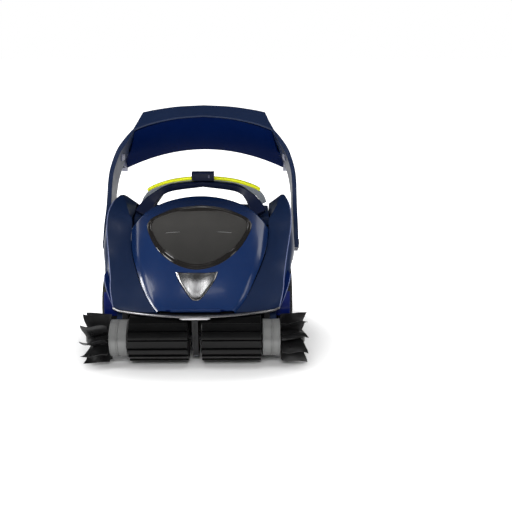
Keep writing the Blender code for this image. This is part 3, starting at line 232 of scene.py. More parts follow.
def painted_reflection_metal(name, dark, light, width):
    """Polished metal with soft upright bands, painted reflections of strip lights as a curved
    mirror would show them.
    """
    mat, tree, shader, place = nodes_of(name)
    bands = waved(tree, place, "X", width, 0.6, Detail=1)
    grain = noise(tree, place, 900, 3, (1, 0.04, 0.04))
    feed(tree, shader, {"Base Color": blended(tree, bands, dark, light), "Metallic": 1,
                        "Roughness": ranged(tree, grain, 0.16, 0.26),
                        "Normal": bumped(tree, grain, 0.03, 0.0002)})
    return mat


def glazed(name, colour, tint, alpha, rough, specular=0.5, painted_height_shade=None):
    """Clear or smoked plastic: a glossy sheet that lets part of the light by, at will with a
    painted shade by height.
    """
    mat, tree, shader, place = nodes_of(name)
    feed(tree, shader, {"Base Color": clouded(tree, place, 14, 3, colour, tint, painted_height_shade),
                        "Roughness": ranged(tree, noise(tree, place, 40, 3), *rough),
                        "Alpha": alpha, "Specular IOR Level": specular})
    return mat


def woven(name, light, dark, pitch):
    """Filter mesh: two crossed sets of threads."""
    mat, tree, shader, place = nodes_of(name)
    across, upright = (waved(tree, place, axis, pitch, 0.3) for axis in ("X", "Z"))
    both = add(tree, "Math", {0: across, 1: upright}, operation="MAXIMUM")[0]
    feed(tree, shader, {"Base Color": blended(tree, both, dark, light),
                        "Roughness": ranged(tree, both, 0.85, 0.5),
                        "Normal": bumped(tree, both, 0.5, 0.0005)})
    return mat


LOOKS = {
    # The lid's colour falls to 0.42 of itself from z 0.215 m to z 0.27 m: painted shade, darker
    # towards the top.
    "lid": moulded("lid_blue", (0.004, 0.018, 0.076), (0.005, 0.0215, 0.086), (0.2, 0.27),
        (1800, 0.03), 0.35, 0.45, painted_height_shade=((0.215, 0.27), (1, 0.42))),
    "navy": moulded("shell_navy", (0.005, 0.013, 0.042), (0.0062, 0.0155, 0.049), (0.3, 0.38),
        (1600, 0.05), 0.05, 0.28),
    "side": moulded("side_blue", (0.001, 0.006, 0.08), (0.0015, 0.008, 0.095), (0.26, 0.36),
        (1600, 0.05), 0.15),
    "dark": moulded("float_navy", (0.0003, 0.0045, 0.036), (0.0005, 0.006, 0.044), (0.34, 0.42),
        (1700, 0.04), specular=0.03),
    "grip": moulded("grip_navy", (0.0022, 0.0055, 0.023), (0.003, 0.007, 0.028), (0.34, 0.46),
        (1500, 0.08), specular=0.4),
    "black": moulded("black_plastic", (0.007, 0.007, 0.008), (0.011, 0.011, 0.012), (0.36, 0.52),
        (1400, 0.1), specular=0.4),
    "gloss": moulded("gloss_black", (0.01, 0.009, 0.0085), (0.014, 0.0125, 0.0115), (0.1, 0.16),
        (1800, 0.02), 0.6),
    "rubber": moulded("black_rubber", (0.0012, 0.0013, 0.0014), (0.0024, 0.0025, 0.0027),
        (0.28, 0.4), (700, 0.12), specular=0.22),
    "tyre": moulded("tyre_rubber", (0.011, 0.0115, 0.012), (0.024, 0.0245, 0.024), (0.62, 0.8),
        (600, 0.3), specular=0.35),
    "vane": moulded("vane_rubber", (0.006, 0.006, 0.0065), (0.011, 0.011, 0.0115), (0.26, 0.4),
        (900, 0.1)),
    "grey": moulded("drum_grey", (0.168, 0.17, 0.168), (0.186, 0.188, 0.186), (0.3, 0.4),
        (1300, 0.08), specular=0.4, metallic=0.4),
    "pale": moulded("hoop_grey", (0.23, 0.255, 0.285), (0.27, 0.295, 0.325), (0.34, 0.46),
        (1500, 0.06)),
    "clip": moulded("clip_lavender", (0.115, 0.12, 0.18), (0.14, 0.145, 0.21), (0.3, 0.42),
        (1300, 0.08)),
    # Light blue for the fenders' crease and arch beads: painted highlights where those edges catch
    # the light.
    "edge": moulded("painted_highlight_edge", (0.09, 0.115, 0.23), (0.12, 0.145, 0.27), (0.2, 0.3),
        (1300, 0.05)),
    "lime": moulded("lime", (0.86, 0.92, 0.015), (0.93, 0.97, 0.025), (0.3, 0.4), (1400, 0.05)),
    "gear": moulded("gear_nylon", (0.52, 0.51, 0.46), (0.62, 0.61, 0.56), (0.4, 0.55),
        (900, 0.1)),
    "metal": brushed("strip_metal", (0.52, 0.51, 0.52), (0.66, 0.65, 0.66), (0.24, 0.4),
        (1, 40, 40)),
    # The badge's light and dark upright bands are painted reflections in the base colour.
    "chrome": painted_reflection_metal("badge_metal", (0.45, 0.45, 0.46), (0.95, 0.95, 0.96), 0.036),
    "steel": brushed("pin_steel", (0.42, 0.42, 0.43), (0.6, 0.6, 0.61), (0.22, 0.36),
        (1, 20, 20)),
    # The window's colour falls to half from z 0.235 m down to z 0.15 m: painted reflection and
    # shade, lighter at the top, darker at the bottom.
    "smoked": glazed("smoked_window", (0.04, 0.039, 0.0375), (0.047, 0.0455, 0.0435), 0.95,
        (0.16, 0.22), 0.14, ((0.15, 0.235), (0.5, 1))),
    "clear": glazed("clear_plastic", (0.6, 0.63, 0.65), (0.7, 0.73, 0.75), 0.3, (0.05, 0.12)),
    "mesh": woven("filter_weave", (0.36, 0.37, 0.38), (0.1, 0.105, 0.11), 0.0016),
}


# ---- helpers
def loft(rings, ends="caps"):
    """Skin equal rings: "caps" closes the ends, "tube" joins last to first, "sheet" is open."""
    source = bmesh.new()
    rows = [[source.verts.new(point) for point in ring] for ring in rings]
    count = len(rows[0])
    span = count - 1 if ends in ("sheet", "belt") else count
    following = rows[1:] + rows[:1] if ends in ("tube", "belt") else rows[1:]
    for here, there in zip(rows, following):
        for i in range(span):
            j = (i + 1) % count
            source.faces.new((here[i], here[j], there[j], there[i]))
    if ends == "caps":
        source.faces.new(rows[0])
        source.faces.new(rows[-1])
    return source


def box(low, high):
    source = bmesh.new()
    bmesh.ops.create_cube(source, size=1)
    low, high = Vector(low), Vector(high)
    bmesh.ops.scale(source, verts=source.verts, vec=high - low)
    bmesh.ops.translate(source, verts=source.verts, vec=(low + high) / 2)
    return source


def rod(start, end, radius, segments=32, radius_end=None):
    start, end = Vector(start), Vector(end)
    source = bmesh.new()
    bmesh.ops.create_cone(source, cap_ends=True, segments=segments, radius1=radius,
                          radius2=radius if radius_end is None else radius_end,
                          depth=(end - start).length)
    turn = (end - start).to_track_quat("Z", "Y").to_matrix().to_4x4()
    bmesh.ops.transform(source, verts=source.verts,
                        matrix=Matrix.Translation((start + end) / 2) @ turn)
    return source


def merged(*sources):
    """One bmesh that holds all the given ones."""
    whole = bmesh.new()
    for source in sources:
        mesh = bpy.data.meshes.new("part")
        source.to_mesh(mesh)
        source.free()
        whole.from_mesh(mesh)
        bpy.data.meshes.remove(mesh)
    return whole


def prism(outline, low, high, axis="X"):
    """An outline of (a, b) points pushed along X (a, b = Y, Z), Y (X, Z) or Z (X, Y)."""
    place = {"X": lambda a, b, c: (c, a, b), "Y": lambda a, b, c: (a, c, b),
             "Z": lambda a, b, c: (a, b, c)}[axis]
    return loft([[Vector(place(a, b, level)) for a, b in outline] for level in (low, high)])


def spun(profile, centre, axis, segments=64, closed=True, side=1):
    """Spin (along, radius) points round an axis through centre: "X", "Y" or "Z"."""
    centre = Vector(centre)
    rings = []
    for step in range(segments):
        angle = 2 * pi * step / segments
        a, b = cos(angle), sin(angle)
        place = {"X": lambda along, r: (along, r * a, r * b),
                 "Y": lambda along, r: (r * b, along, r * a),
                 "Z": lambda along, r: (r * a, r * b, along)}[axis]
        rings.append([centre + Vector(place(side * along, r)) for along, r in profile])
    source = loft(rings, "tube" if closed else "belt")
    bmesh.ops.remove_doubles(source, verts=source.verts, dist=1e-6)
    return source


def smooth_path(points, per_span):
    """A Catmull-Rom curve through the points, with per_span steps between each two."""
    points = [Vector(point) for point in points]
    padded = [2 * points[0] - points[1]] + points + [2 * points[-1] - points[-2]]
    path = []
    for i in range(1, len(padded) - 2):
        a, b, c, d = padded[i - 1:i + 3]
        for step in range(per_span):
            t = step / per_span
            path.append(0.5 * ((2 * b) + (c - a) * t + (2 * a - 5 * b + 4 * c - d) * t ** 2
                               + (3 * b - a - 3 * c + d) * t ** 3))
    path.append(points[-1])
    return path


def smooth_rows(rows, per_span):
    """The same curve for every point of a row of rings."""
    lines = [smooth_path(line, per_span) for line in zip(*rows)]
    return [list(ring) for ring in zip(*lines)]


def smooth_pairs(pairs, per_span):
    """The same curve for (a, b) points, as pairs."""
    return [(p.x, p.y) for p in smooth_path([(a, b, 0) for a, b in pairs], per_span)]


def smooth_step(low, high, value):
    t = max(0, min(1, (value - low) / (high - low)))
    return t * t * (3 - 2 * t)


def mirrored(points, side=-1):
    return [Vector((side * point.x, point.y, point.z)) for point in points]


def both_halves(rings):
    """Rings from the +X end to the middle, then their mirror images."""
    return rings + [mirrored(ring) for ring in rings[-2::-1]]


def new_object(name, source):
    """An object with a bmesh's shape, in the scene."""
    bmesh.ops.recalc_face_normals(source, faces=source.faces)
    mesh = bpy.data.meshes.new(name)
    source.to_mesh(mesh)
    source.free()
    obj = bpy.data.objects.new(name, mesh)
    scene.collection.objects.link(obj)
    return obj


def bevelled(obj, width, segments=2, angle=30, harden=False):
    mod = obj.modifiers.new("edges", "BEVEL")
    mod.width, mod.segments = width, segments
    mod.limit_method, mod.angle_limit = "ANGLE", radians(angle)
    mod.harden_normals = harden


def piece(name, source, look, stands_for=None, body="chassis", sharp=40, bevel=0,
          segments=2, wall=0, outward=None):
    """Make an object from a bmesh, finish its edges, put it on its body, and let it stand
    for a CAD node."""
    obj = new_object(name, source)
    mesh = obj.data
    if outward:
        facing = sum(face.normal.dot(Vector(outward)) * face.area for face in mesh.polygons)
        if facing < 0:
            mesh.flip_normals()
    mesh.shade_smooth()
    mesh.set_sharp_from_angle(angle=radians(sharp))
    mesh.materials.append(LOOKS[look])
    if wall:
        mod = obj.modifiers.new("wall", "SOLIDIFY")
        mod.thickness, mod.offset, mod.use_even_offset = wall, -1, True
    if bevel:
        bevelled(obj, bevel, segments, sharp, True)
    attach(obj, body)
    if stands_for:
        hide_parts(stands_for)
    return obj


def cut(obj, source):
    """Take a bmesh's shape out of an object, at once, before its other modifiers."""
    cutter = new_object("cutter", source)
    mod = obj.modifiers.new("cut", "BOOLEAN")
    mod.operation, mod.solver, mod.object = "DIFFERENCE", "EXACT", cutter
    graph = bpy.context.evaluated_depsgraph_get()
    result = bpy.data.meshes.new_from_object(obj.evaluated_get(graph))
    old, tool = obj.data, cutter.data
    obj.modifiers.clear()
    obj.data = result
    result.name = obj.name
    bpy.data.objects.remove(cutter)
    bpy.data.meshes.remove(old)
    bpy.data.meshes.remove(tool)


# ---- the lid's surface
SEAM_TOP_HALF = 0.145                       # |X| of the lid's edge at its widest
LID_BOW, BOW_HALF, LID_CROWN = 0.045, 0.163, 0.02
SEAM_STEP = 0.008                           # the lid stands this proud of the fenders
LID_PROFILE = smooth_path(mm(
    (0, -190, 103), (0, -168, 118), (0, -130, 157), (0, -70, 209), (0, -15, 257.5), (0, 12, 271),
    (0, 44, 279.5)), 24)


def centre_height(y):
    """Height of the lid's middle line over a place y, straight beyond its ends."""
    if y <= LID_PROFILE[0].y:
        a, b = LID_PROFILE[0], LID_PROFILE[1]
    elif y >= LID_PROFILE[-1].y:
        a, b = LID_PROFILE[-2], LID_PROFILE[-1]
    else:
        a, b = next((a, b) for a, b in zip(LID_PROFILE, LID_PROFILE[1:]) if b.y >= y)
    return a.z + (b.z - a.z) * (y - a.y) / (b.y - a.y)


def lid_height(x, y):
    bow = LID_BOW * (x / BOW_HALF) ** 2
    crown = LID_CROWN * (x / SEAM_TOP_HALF) ** 2 * smooth_step(-0.12, 0.01, y)
    return centre_height(y - bow) - crown


def seam_half(y):
    return SEAM_TOP_HALF - 0.071 * (max(0, 0.015 - y) / 0.2) ** 2


def lid_point(across, along):
    """A point of the lid's outer skin: across -1 to 1, along 0 (nose) to 1 (top)."""
    middle_y = -0.19 + 0.234 * along
    seam_y = -0.181 + 0.206 * along - 0.026 * along ** 5
    y = middle_y + (seam_y - middle_y) * across ** 2
    x = across * (seam_half(seam_y) - 0.0006)
    edge = max(0, abs(across) - 0.9) / 0.1
    top = max(0, along - 0.955) / 0.045
    return Vector((x, y, lid_height(x, y) - 0.75 * SEAM_STEP * edge ** 2
                   - 0.003 * top ** 2 * (1 - edge)))


WINDOW_TOP = mm((-108, -14), (-75, -6), (-38, -3), (0, -2))
WINDOW_LOW = mm((0, -122), (-40, -112), (-74, -86), (-98, -50))


def grown(ring, centre, distance):
    centre = Vector(centre)
    return [point + (point - centre).normalized() * distance for point in ring]


def window_outline(grow, per_span=10):
    """The window's rounded shield in plan, grown by a distance."""
    half = [Vector((x, y, 0)) for x, y in WINDOW_LOW + WINDOW_TOP]
    ring = mirrored(half[:0:-1]) + half[:-1]
    path = smooth_path(ring[-1:] + ring + ring[:2], per_span)[per_span:-2 * per_span]
    return grown(path[:-1], (0, -0.055, 0), grow)


def on_lid(point, lift):
    return Vector((point.x, point.y, lid_height(point.x, point.y) + lift))


def plan(outline):
    return prism([(p.x, p.y) for p in outline], 0.05, 0.34, "Z")


def make_lid():
    turns = [pi / 2 * i / 60 for i in range(61)]
    across = [sin(pi / 2 * (2 * i / 56 - 1)) for i in range(57)]
    along = [0.5 * (1 - cos(turn)) + 0.5 * sin(turn) for turn in turns]
    skin = loft([[lid_point(c, r) for c in across] for r in along], "sheet")
    lid = piece("lid_skin", skin, "lid", "lid_shell", "lid", sharp=50, wall=0.003,
                outward=(0, -0.5, 1))
    cut(lid, plan(window_outline(-0.0006)))
    cut(lid, plan(badge_outline(0.0016)))
    lid.data.set_sharp_from_angle(angle=radians(38))
    barrels = [rod((side * 0.0006, *LID_HINGE), (side * 0.0478, *LID_HINGE), 0.004, 24)
               for side in SIDES.values()]
    piece("lid_knuckles", merged(*barrels), "lid", body="lid", bevel=0.0005)


LID_HINGE = (-0.187, 0.104)                 # Y, Z
BADGE_CENTRE = Vector((0, -0.142, 0))


def badge_outline(grow, per_span=8):
    """A plain shield in plan: a hollow top edge and two full curves to a round tip."""
    top = smooth_path(mm((0, -127.5, 0), (-20, -126.5, 0), (-41, -123.5, 0)), per_span)
    side = smooth_path(mm(
        (-41, -123.5, 0), (-34, -138, 0), (-21, -153, 0), (-8.5, -165.2, 0), (0, -167.5, 0)),
        per_span)
    half = top + side[1:]
    return grown(half + mirrored(half[-2:0:-1]), BADGE_CENTRE, grow)


def plate_on_lid(outline, centre, steps):
    """A closed cap on the lid: steps are (fraction of the outline, lift), under to over."""
    return loft([[on_lid(centre.lerp(p, fraction), lift) for p in outline]
                 for fraction, lift in steps])


def make_badge():
    seat = plate_on_lid(badge_outline(0.0018), BADGE_CENTRE,
                        [(0.3, -0.0052), (1, -0.0052), (1, -0.0034), (0.3, -0.0034)])
    piece("badge_seat", seat, "black", body="lid", sharp=60)
    steps = [(1, -0.0034), (1, -0.0004), (0.975, 0.0006), (0.93, 0.0011), (0.905, 0.0012),
             (0.885, 0.0006), (0.86, 0.0005), (0.6, 0.0014), (0.3, 0.0019), (0.05, 0.002)]
    piece("badge_shield", plate_on_lid(badge_outline(0), BADGE_CENTRE, steps), "chrome",
          "badge", "lid", sharp=32)


def make_window():
    section = mm(
        (-0.4, 0.1), (-0.7, 0.9), (-1.4, 1.6), (-2.4, 1.8), (-3.4, 1.3), (-4.2, 0.2), (-7, -1),
        (-8.2, -0.9), (-9, -0.2), (-9.8, -0.4), (-10.2, -3), (-0.4, -3))
    rings = [[on_lid(p, lift) for p in window_outline(grow)] for grow, lift in section]
    piece("window_bezel", loft(rings, "tube"), "gloss", "window_rim", "lid", sharp=28)
    steps = [(0.1, -0.004), (0.5, -0.004), (1, -0.0044), (1, -0.0024), (0.93, -0.0016),
             (0.8, -0.0012), (0.6, -0.0008), (0.4, -0.0006), (0.2, -0.0005), (0.05, -0.0005)]
    pane = plate_on_lid(window_outline(-0.01), Vector((0, -0.058, 0)), steps)
    piece("window_pane", pane, "smoked", "window", "lid", sharp=50)
    lines = []
    for side in SIDES.values():
        rings = []
        for i in range(13):
            t = i / 12
            top = on_lid(Vector((side * (0.038 + 0.029 * t), -0.051 + 0.004 * t, 0)), -0.0004)
            wide = 0.00036 * sin(pi * (0.1 + 0.8 * t))
            rings.append([top + Vector((0, y, z)) for y, z in
                          ((-wide, -0.0008), (-wide, 0), (wide, 0), (wide, -0.0008))])
        lines.append(loft(rings))
    piece("window_lines", merged(*lines), "grey", body="lid")


def make_grip():
    """The arched bar behind the lid's top edge, one piece with two spreading legs."""
    front = smooth_path(mm(
        (-138.8, 29, 250), (-131, 56, 259), (-112, 85, 272.5), (-75, 112, 284), (0, 124, 290)), 12)
    depth = smooth_path(mm((0, 12, -10), (2, 22, -8), (4, 28, -4), (0, 26, 1), (0, 22, 3)), 12)
    drops = smooth_pairs(mm((32, -19), (26, -12), (14, -14), (3, -12.5), (0, -10.5)), 12)
    half = []
    for edge, back, (x, z) in zip(front, depth, drops):
        inward, lean = Vector((x, 0, z)), back.normalized() * 0.0006
        half.append([edge, edge + back * 0.5 + Vector((0, 0, 0.0014)), edge + back,
                     edge + back + inward * 0.5 + lean, edge + back + inward,
                     edge + back * 0.5 + inward, edge + inward, edge + inward * 0.5 - lean])
    piece("grip_arch", loft(both_halves(half)), "grip", "lid_grip", "lid", bevel=0.0016,
          segments=3)


def make_latch():
    outline = smooth_pairs(mm(
        (122.9, 294.4), (122.9, 303), (123.2, 310.8), (126.2, 312.4), (137, 312.2),
        (146.8, 311.9), (148.8, 309.8), (148.9, 302), (148.9, 294.4)), 4)
    latch = piece("latch_block", prism(outline, -0.0248, 0.0248), "grip", "lid_latch",
                  "latch", sharp=45)
    for x in (-0.016, 0.016):
        cut(latch, box((x - 0.0006, 0.12, 0.3112), (x + 0.0006, 0.15, 0.314)))
    cut(latch, box((-0.0205, 0.1195, 0.299), (0.0205, 0.124, 0.3075)))
    bevelled(latch, 0.001, 3, harden=True)
    piece("latch_light", box((0.0125, 0.1235, 0.3), (0.015, 0.1243, 0.3068)), "clip",
          body="latch", bevel=0.0003)


# ---- fenders
EDGE = [Vector(place) for place in mm(
    (162.5, -155.8, 98.5), (166.5, -146, 113), (171, -130, 130), (173, -113, 148.5),
    (179, -86, 183), (185, -60, 208), (189.5, -35, 228), (191.5, -5, 249), (189.5, 30, 262),
    (185.5, 68, 266.5), (181.5, 105, 266.5), (181, 130, 258), (179, 160, 240), (175, 190, 205),
    (172, 203, 165))]
CREST = [Vector(place) for place in mm(
    (153, 35, 240), (166, 72, 255), (177.5, 104, 266.2), (173, 130, 259), (167, 160, 243),
    (160, 190, 214), (155, 203, 172))]
FOOT = [Vector(place) for place in mm(
    (149, 33, 228), (149, 71, 233), (149, 103, 240), (149, 129, 241), (149, 159, 229),
    (149, 189, 196), (149, 202, 158))]
SEAM_ROWS = len(EDGE) - len(CREST)
FLANK_BASE, TAIL_BASE = 0.12, 0.092
ARCH_RADIUS = 0.084
AXLES = {"front": (-0.06, 0.078), "rear": (0.11, 0.078)}


def arch_height(y):
    tops = [z + sqrt(ARCH_RADIUS ** 2 - (y - centre) ** 2)
            for centre, z in AXLES.values() if abs(y - centre) < ARCH_RADIUS]
    return max(tops, default=0)


def fender_lines(index):
    """Foot, crest, edge of the fender at a row."""
    edge, row = EDGE[index], index - SEAM_ROWS
    if row >= 0:
        return FOOT[row], CREST[row], edge
    seam_y = -0.181 + 0.202 * index / (SEAM_ROWS - 1)
    half = seam_half(seam_y) + 0.0006
    full = smooth_step(0, 3, index)
    crest = Vector((half, seam_y, lid_height(half, seam_y) - SEAM_STEP * (0.4 + 0.6 * full)))
    return crest + Vector((0.0015, 0.0045, -0.003 - 0.006 * full)), crest, edge


def fender_ring(foot, crest, edge, index):
    """The outer skin of a +X fender at a row, from its foot to its lower edge."""
    base = FLANK_BASE + (TAIL_BASE - FLANK_BASE) * smooth_step(0.15, 0.2, edge.y)
    low_z = min(edge.z - 0.0045, max(arch_height(edge.y), base))
    flank = edge.z - low_z
    flare = 0.01 * smooth_step(-0.12, -0.095, edge.y) * (1 - smooth_step(-0.045, 0, edge.y))
    low = Vector((edge.x + flare - 0.004 * smooth_step(0, 0.06, flank), edge.y, low_z))
    bulge = 0.005 * smooth_step(0, 0.05, flank)
    dish = -0.003 * (1 - smooth_step(7, 10, index))
    outer = [foot, foot.lerp(crest, 0.5)]
    for t in (0, 0.02, 0.12, 0.25, 0.38, 0.5, 0.62, 0.75, 0.88, 0.98):
        outer.append(crest.lerp(edge, t) + Vector((0, 0, dish * 1.1 * sin(pi * t))))
    for t in (0, 0.06, 0.22, 0.4, 0.6, 0.8, 0.97, 1):
        outer.append(edge.lerp(low, t) + Vector((bulge * sin(pi * t), 0, 0)))
    return outer


FENDER_STEPS, CREASE_LINES, WEB_LINES = 6, 52, 22
FENDER_LINES = smooth_rows([fender_lines(row) for row in range(len(EDGE))], FENDER_STEPS)


def make_fender(name, side):
    walls = [Vector((0.0026, 0.001, -0.0004))] * 2 + [Vector((0, 0.0012, -0.0034))] * 10 + \
        [Vector((-0.0024, 0.001, -0.0032)), Vector((0, 0.0012, -0.0034))] + \
        [Vector((-0.003, 0, 0))] * 6
    rows = []
    for i, line in enumerate(FENDER_LINES):
        outer = fender_ring(*line, i / FENDER_STEPS)
        inner = [point + wall for point, wall in zip(outer, walls)]
        rows.append(mirrored(outer + inner[::-1], side))
    piece(name + "_fender_skin", loft(rows), "navy", name + "_fender",
          sharp=32, bevel=0.0011, segments=3)
    boss = spun(mm(
        (187.5, 6.6), (187.5, 18.5), (193.5, 18), (197.5, 16), (198.4, 15), (198.4, 6.6)),
        (0, *HANDLE_PIVOT), "X", side=side)
    piece(name + "_pivot_boss", boss, "navy")


def beaded(points, radius, segments=8):
    """A thin round bead along a line of points."""
    rings = []
    for i, point in enumerate(points):
        run = points[min(i + 1, len(points) - 1)] - points[max(i - 1, 0)]
        across = run.cross(Vector((0, 0, 1))).normalized()
        up = across.cross(run).normalized()
        turns = (2 * pi * k / segments for k in range(segments))
        rings.append([point + (across * cos(a) + up * sin(a)) * radius for a in turns])
    return loft(rings)


def make_fender_web(name, side):
    """The dark side panel between a fender's crease and the wheel arch, with light beads along its
    edges as painted highlights.
    """
    crease = [edge + Vector((-0.0007, 0, -0.0002)) for _, _, edge in FENDER_LINES[:CREASE_LINES]]
    arch, rings = [], []
    for i, (_, _, edge) in enumerate(FENDER_LINES[:WEB_LINES]):
        u = i / (WEB_LINES - 1)
        x = 0.1645 + 0.0205 * (1 - (1 - u) ** 1.6)
        low = round_axle(AXLES["front"], 0.085, radians(167 - 45 * u), x)
        high = edge + Vector((-0.0014, 0.0012, -0.0012))
        face = [high.lerp(low, t) for t in (0, 0.35, 0.7, 1)]
        rings.append(mirrored(face + [p + Vector((-0.0014, 0.0006, 0.0002))
                                      for p in face[::-1]], side))
        arch.append(low)
    piece(name + "_fender_web", loft(rings), "dark")
    # The beads along the crease and the arch are painted highlights.
    edges = [beaded(mirrored(line, side), radius)
             for line, radius in ((crease, 0.0009), (arch, 0.0008))]
    piece(name + "_fender_painted_highlights", merged(*edges), "edge")


# ---- handle
HANDLE_PIVOT = (0.025, 0.175)               # Y, Z
HANDLE_LEAN = radians(34)
LEAN = Vector((0, sin(HANDLE_LEAN), cos(HANDLE_LEAN)))
ARM_BACK = Vector((0, LEAN.z, -LEAN.y))
ARM_OUT, ARM_THICK, ARM_DEPTH = 0.209, 0.01, 0.06
SHOULDER = mm(
    (209, 103, 291), (207.2, 119, 315), (201.4, 136, 339), (191.2, 152, 364), (175, 167, 386),
    (161.5, 174, 400.5))
RIDGE = mm((158, 174, 403), (118, 173, 417), (60, 173, 429), (0, 173, 434))
RIM_BACK = mm((-16.5, 50, 33), (-6, 51, 25), (0, 52, 20), (0, 52, 18))


def handle_rows():
    """(front outer edge, depth vector, thickness vector) along one +X half."""
    arm, shoulder, bar = [], [], []
    inward = Vector((-ARM_THICK, 0, 0))
    for step in range(5):
        height = -0.012 + 0.14 * step / 5
        start = Vector((ARM_OUT, *HANDLE_PIVOT)) + LEAN * height
        depth = ARM_DEPTH * (0.45 + 0.55 * smooth_step(0, 3, step))
        arm.append((start - ARM_BACK * depth * 0.5 * (1 - smooth_step(0, 4, step)),
                    ARM_BACK * depth, inward))
    bend = smooth_path(SHOULDER, 8)
    for i, point in enumerate(bend):
        t = i / (len(bend) - 1)
        back = (ARM_BACK * ARM_DEPTH).lerp(Vector((-0.01, 0.052, -0.006)), t)
        shoulder.append((point, back, Vector((-ARM_THICK, 0, -0.008 * t)) * (1 - 0.15 * t)))
    ridge, rim = smooth_path(RIDGE, 10), smooth_path(RIM_BACK, 10)
    for i, (point, back) in enumerate(zip(ridge, rim)):
        t = i / (len(ridge) - 1)
        bar.append((point, back, Vector((-0.006 * (1 - t), 0.0015, -0.0088))))
    return [tuple(row) for row in smooth_rows(arm + [shoulder[0]], 4)][:-1] + shoulder + bar


def make_handle():
    half = []
    for edge, back, inward in handle_rows():
        lip = inward * (1 - 0.62 * smooth_step(0.375, 0.405, edge.z))
        half.append([edge, edge + back * 0.5, edge + back, edge + back + inward * 0.5,
                     edge + back + inward, edge + back * 0.5 + inward, edge + lip,
                     edge + lip * 0.5])
    shell = piece("handle_bow", loft(both_halves(half)), "navy", "handle_shell", "handle",
                  sharp=30)
    for side in SIDES.values():
        cut(shell, rod((side * 0.19, *HANDLE_PIVOT), (side * 0.22, *HANDLE_PIVOT), 0.0064, 40))
    shell.data.set_sharp_from_angle(angle=radians(30))
    bevelled(shell, 0.0012, 3, harden=True)
    for name, side in SIDES.items():
        cap = spun(mm(
            (184, 0), (184, 6), (209.4, 6), (209.4, 10.8), (210, 10.8), (210.9, 10), (211.2, 7),
            (210.8, 3.6), (210.3, 3.4), (210.3, 0)), (0, *HANDLE_PIVOT), "X", 48, False, side)
        piece(name + "_pin_cap", cap, "steel", name + "_handle_pin", sharp=30)


CLIP_PAD = mm((158, 349), (176, 346), (185, 331), (166, 332))


def arm_inside(y, z):
    """|X| of an arm's inner face where the float's clip holds it."""
    return 0.185 - (0.2 * (y - 0.163) + 0.265 * (z - 0.342)) / 0.945


def make_float():
    """The dark buoyant panel that hangs from the handle's ridge between the arms."""
    belly, thick = Vector((0, -0.0045, -0.0045)), Vector((0, 0.0085, 0.0065))
    rings = []
    for index in range(61):
        s = index / 30 - 1
        top = Vector((0.156 * s, 0.1775, 0.429 - 0.033 * s * s))
        low = Vector((0.185 * s, 0.23, 0.348 - 0.044 * s * s))
        ring = []
        for t in (0, 0.1, 0.25, 0.45, 0.65, 0.85, 0.97, 1):
            swell = 0.44 * smooth_step(0.45, 0.72, t) * (1 - smooth_step(0.75, 1, t))
            widened = Vector((abs(s) * swell * (low.x - top.x), 0, 0))
            ring.append(top.lerp(low, t) + belly * sin(pi * t) + widened)
        back = [p + thick * (1 + 0.35 * sin(pi * (1 - j / 7)) - 0.12 * (j == 0))
                for j, p in enumerate(ring)]
        rings.append(ring + back[::-1])
    piece("handle_float_panel", loft(rings), "dark", "handle_float", "handle", bevel=0.0016,
          segments=3)
    for name, side in SIDES.items():
        outline = mm((202, 315), (233, 296), (238.8, 304), (208, 326))
        clip = piece(name + "_clip", prism(outline, side * 0.185, side * 0.1985),
                     "clip", name + "_float_clip", "handle", sharp=30)
        x = side * 0.1918
        cut(clip, box((x - 0.0036, 0.2, 0.3085), (x + 0.0036, 0.22, 0.314)))
        bevelled(clip, 0.0009)
        pad = [[Vector((arm_inside(y, z) - lift, y, z)) for y, z in CLIP_PAD]
               for lift in (-0.0012, 0.0014, 0.002)]
        middle = sum(pad[2], Vector()) / len(CLIP_PAD)
        pad[2] = [p.lerp(middle, 0.12) for p in pad[2]]
        piece(name + "_clip_pad", loft([mirrored(ring, side) for ring in pad]), "clip",
              body="handle", sharp=30, bevel=0.0003)
        link = rod((side * 0.183, 0.18, 0.334), (side * 0.1872, 0.207, 0.3235), 0.002, 16)
        piece(name + "_clip_link", link, "dark", body="handle", bevel=0.0003)
        stem = rod((x, 0.215, 0.314), (x, 0.201, 0.333), 0.004, 24, 0.003)
        piece(name + "_clip_stem", stem, "dark", body="handle", bevel=0.0004)


# ---- nose and strip
NOSE_HALF, NOSE_DROOP = 0.162, 0.0046


def nose_point(x, back, z):
    return Vector((x, -0.209 + 0.051 * (x / NOSE_HALF) ** 2 + back, z))


def droop(x):
    return NOSE_DROOP * (x / NOSE_HALF) ** 2


def swept_bar(section_at, half, count):
    return loft([section_at(half * (2 * i / count - 1)) for i in range(count + 1)])


def strip_section(x):
    z = 0.0996 - droop(x) + 0.0034 * smooth_step(0.15, NOSE_HALF, abs(x))
    points = mm(
        (-2.6, 0), (-2.1, 1.3), (-1.2, 2.2), (1.4, 2.4), (1.4, -2.4), (-1.2, -2.2), (-2.1, -1.3))
    return [nose_point(x, back, z + up) for back, up in points]


def bar_section(x):
    start, top = nose_point(x, 0.0018, 0).y, 0.1004 - droop(x)
    end = min(start + 0.006, -0.182 + 0.261 * (abs(x) - 0.078))
    return [Vector((x, y, z)) for y, z in
            ((start, top), (end, top), (end, top - 0.0024), (start, top - 0.0024))]


def plate_section(x):
    drop = 0.001 * smooth_step(0.04, 0.068, abs(x))
    over, under = 0.0976 - drop, 0.0957 - 0.5 * drop
    start, top = nose_point(x, 0.0045, 0).y, 0.0998 - droop(x)
    return [Vector((x, y, z)) for y, z in
            ((start, top), (start + 0.01, over), (-0.17, over), (-0.1455, 0.08),
             (-0.1455, 0.0776), (-0.1708, under), (start + 0.01, under), (start, top - 0.0012))]


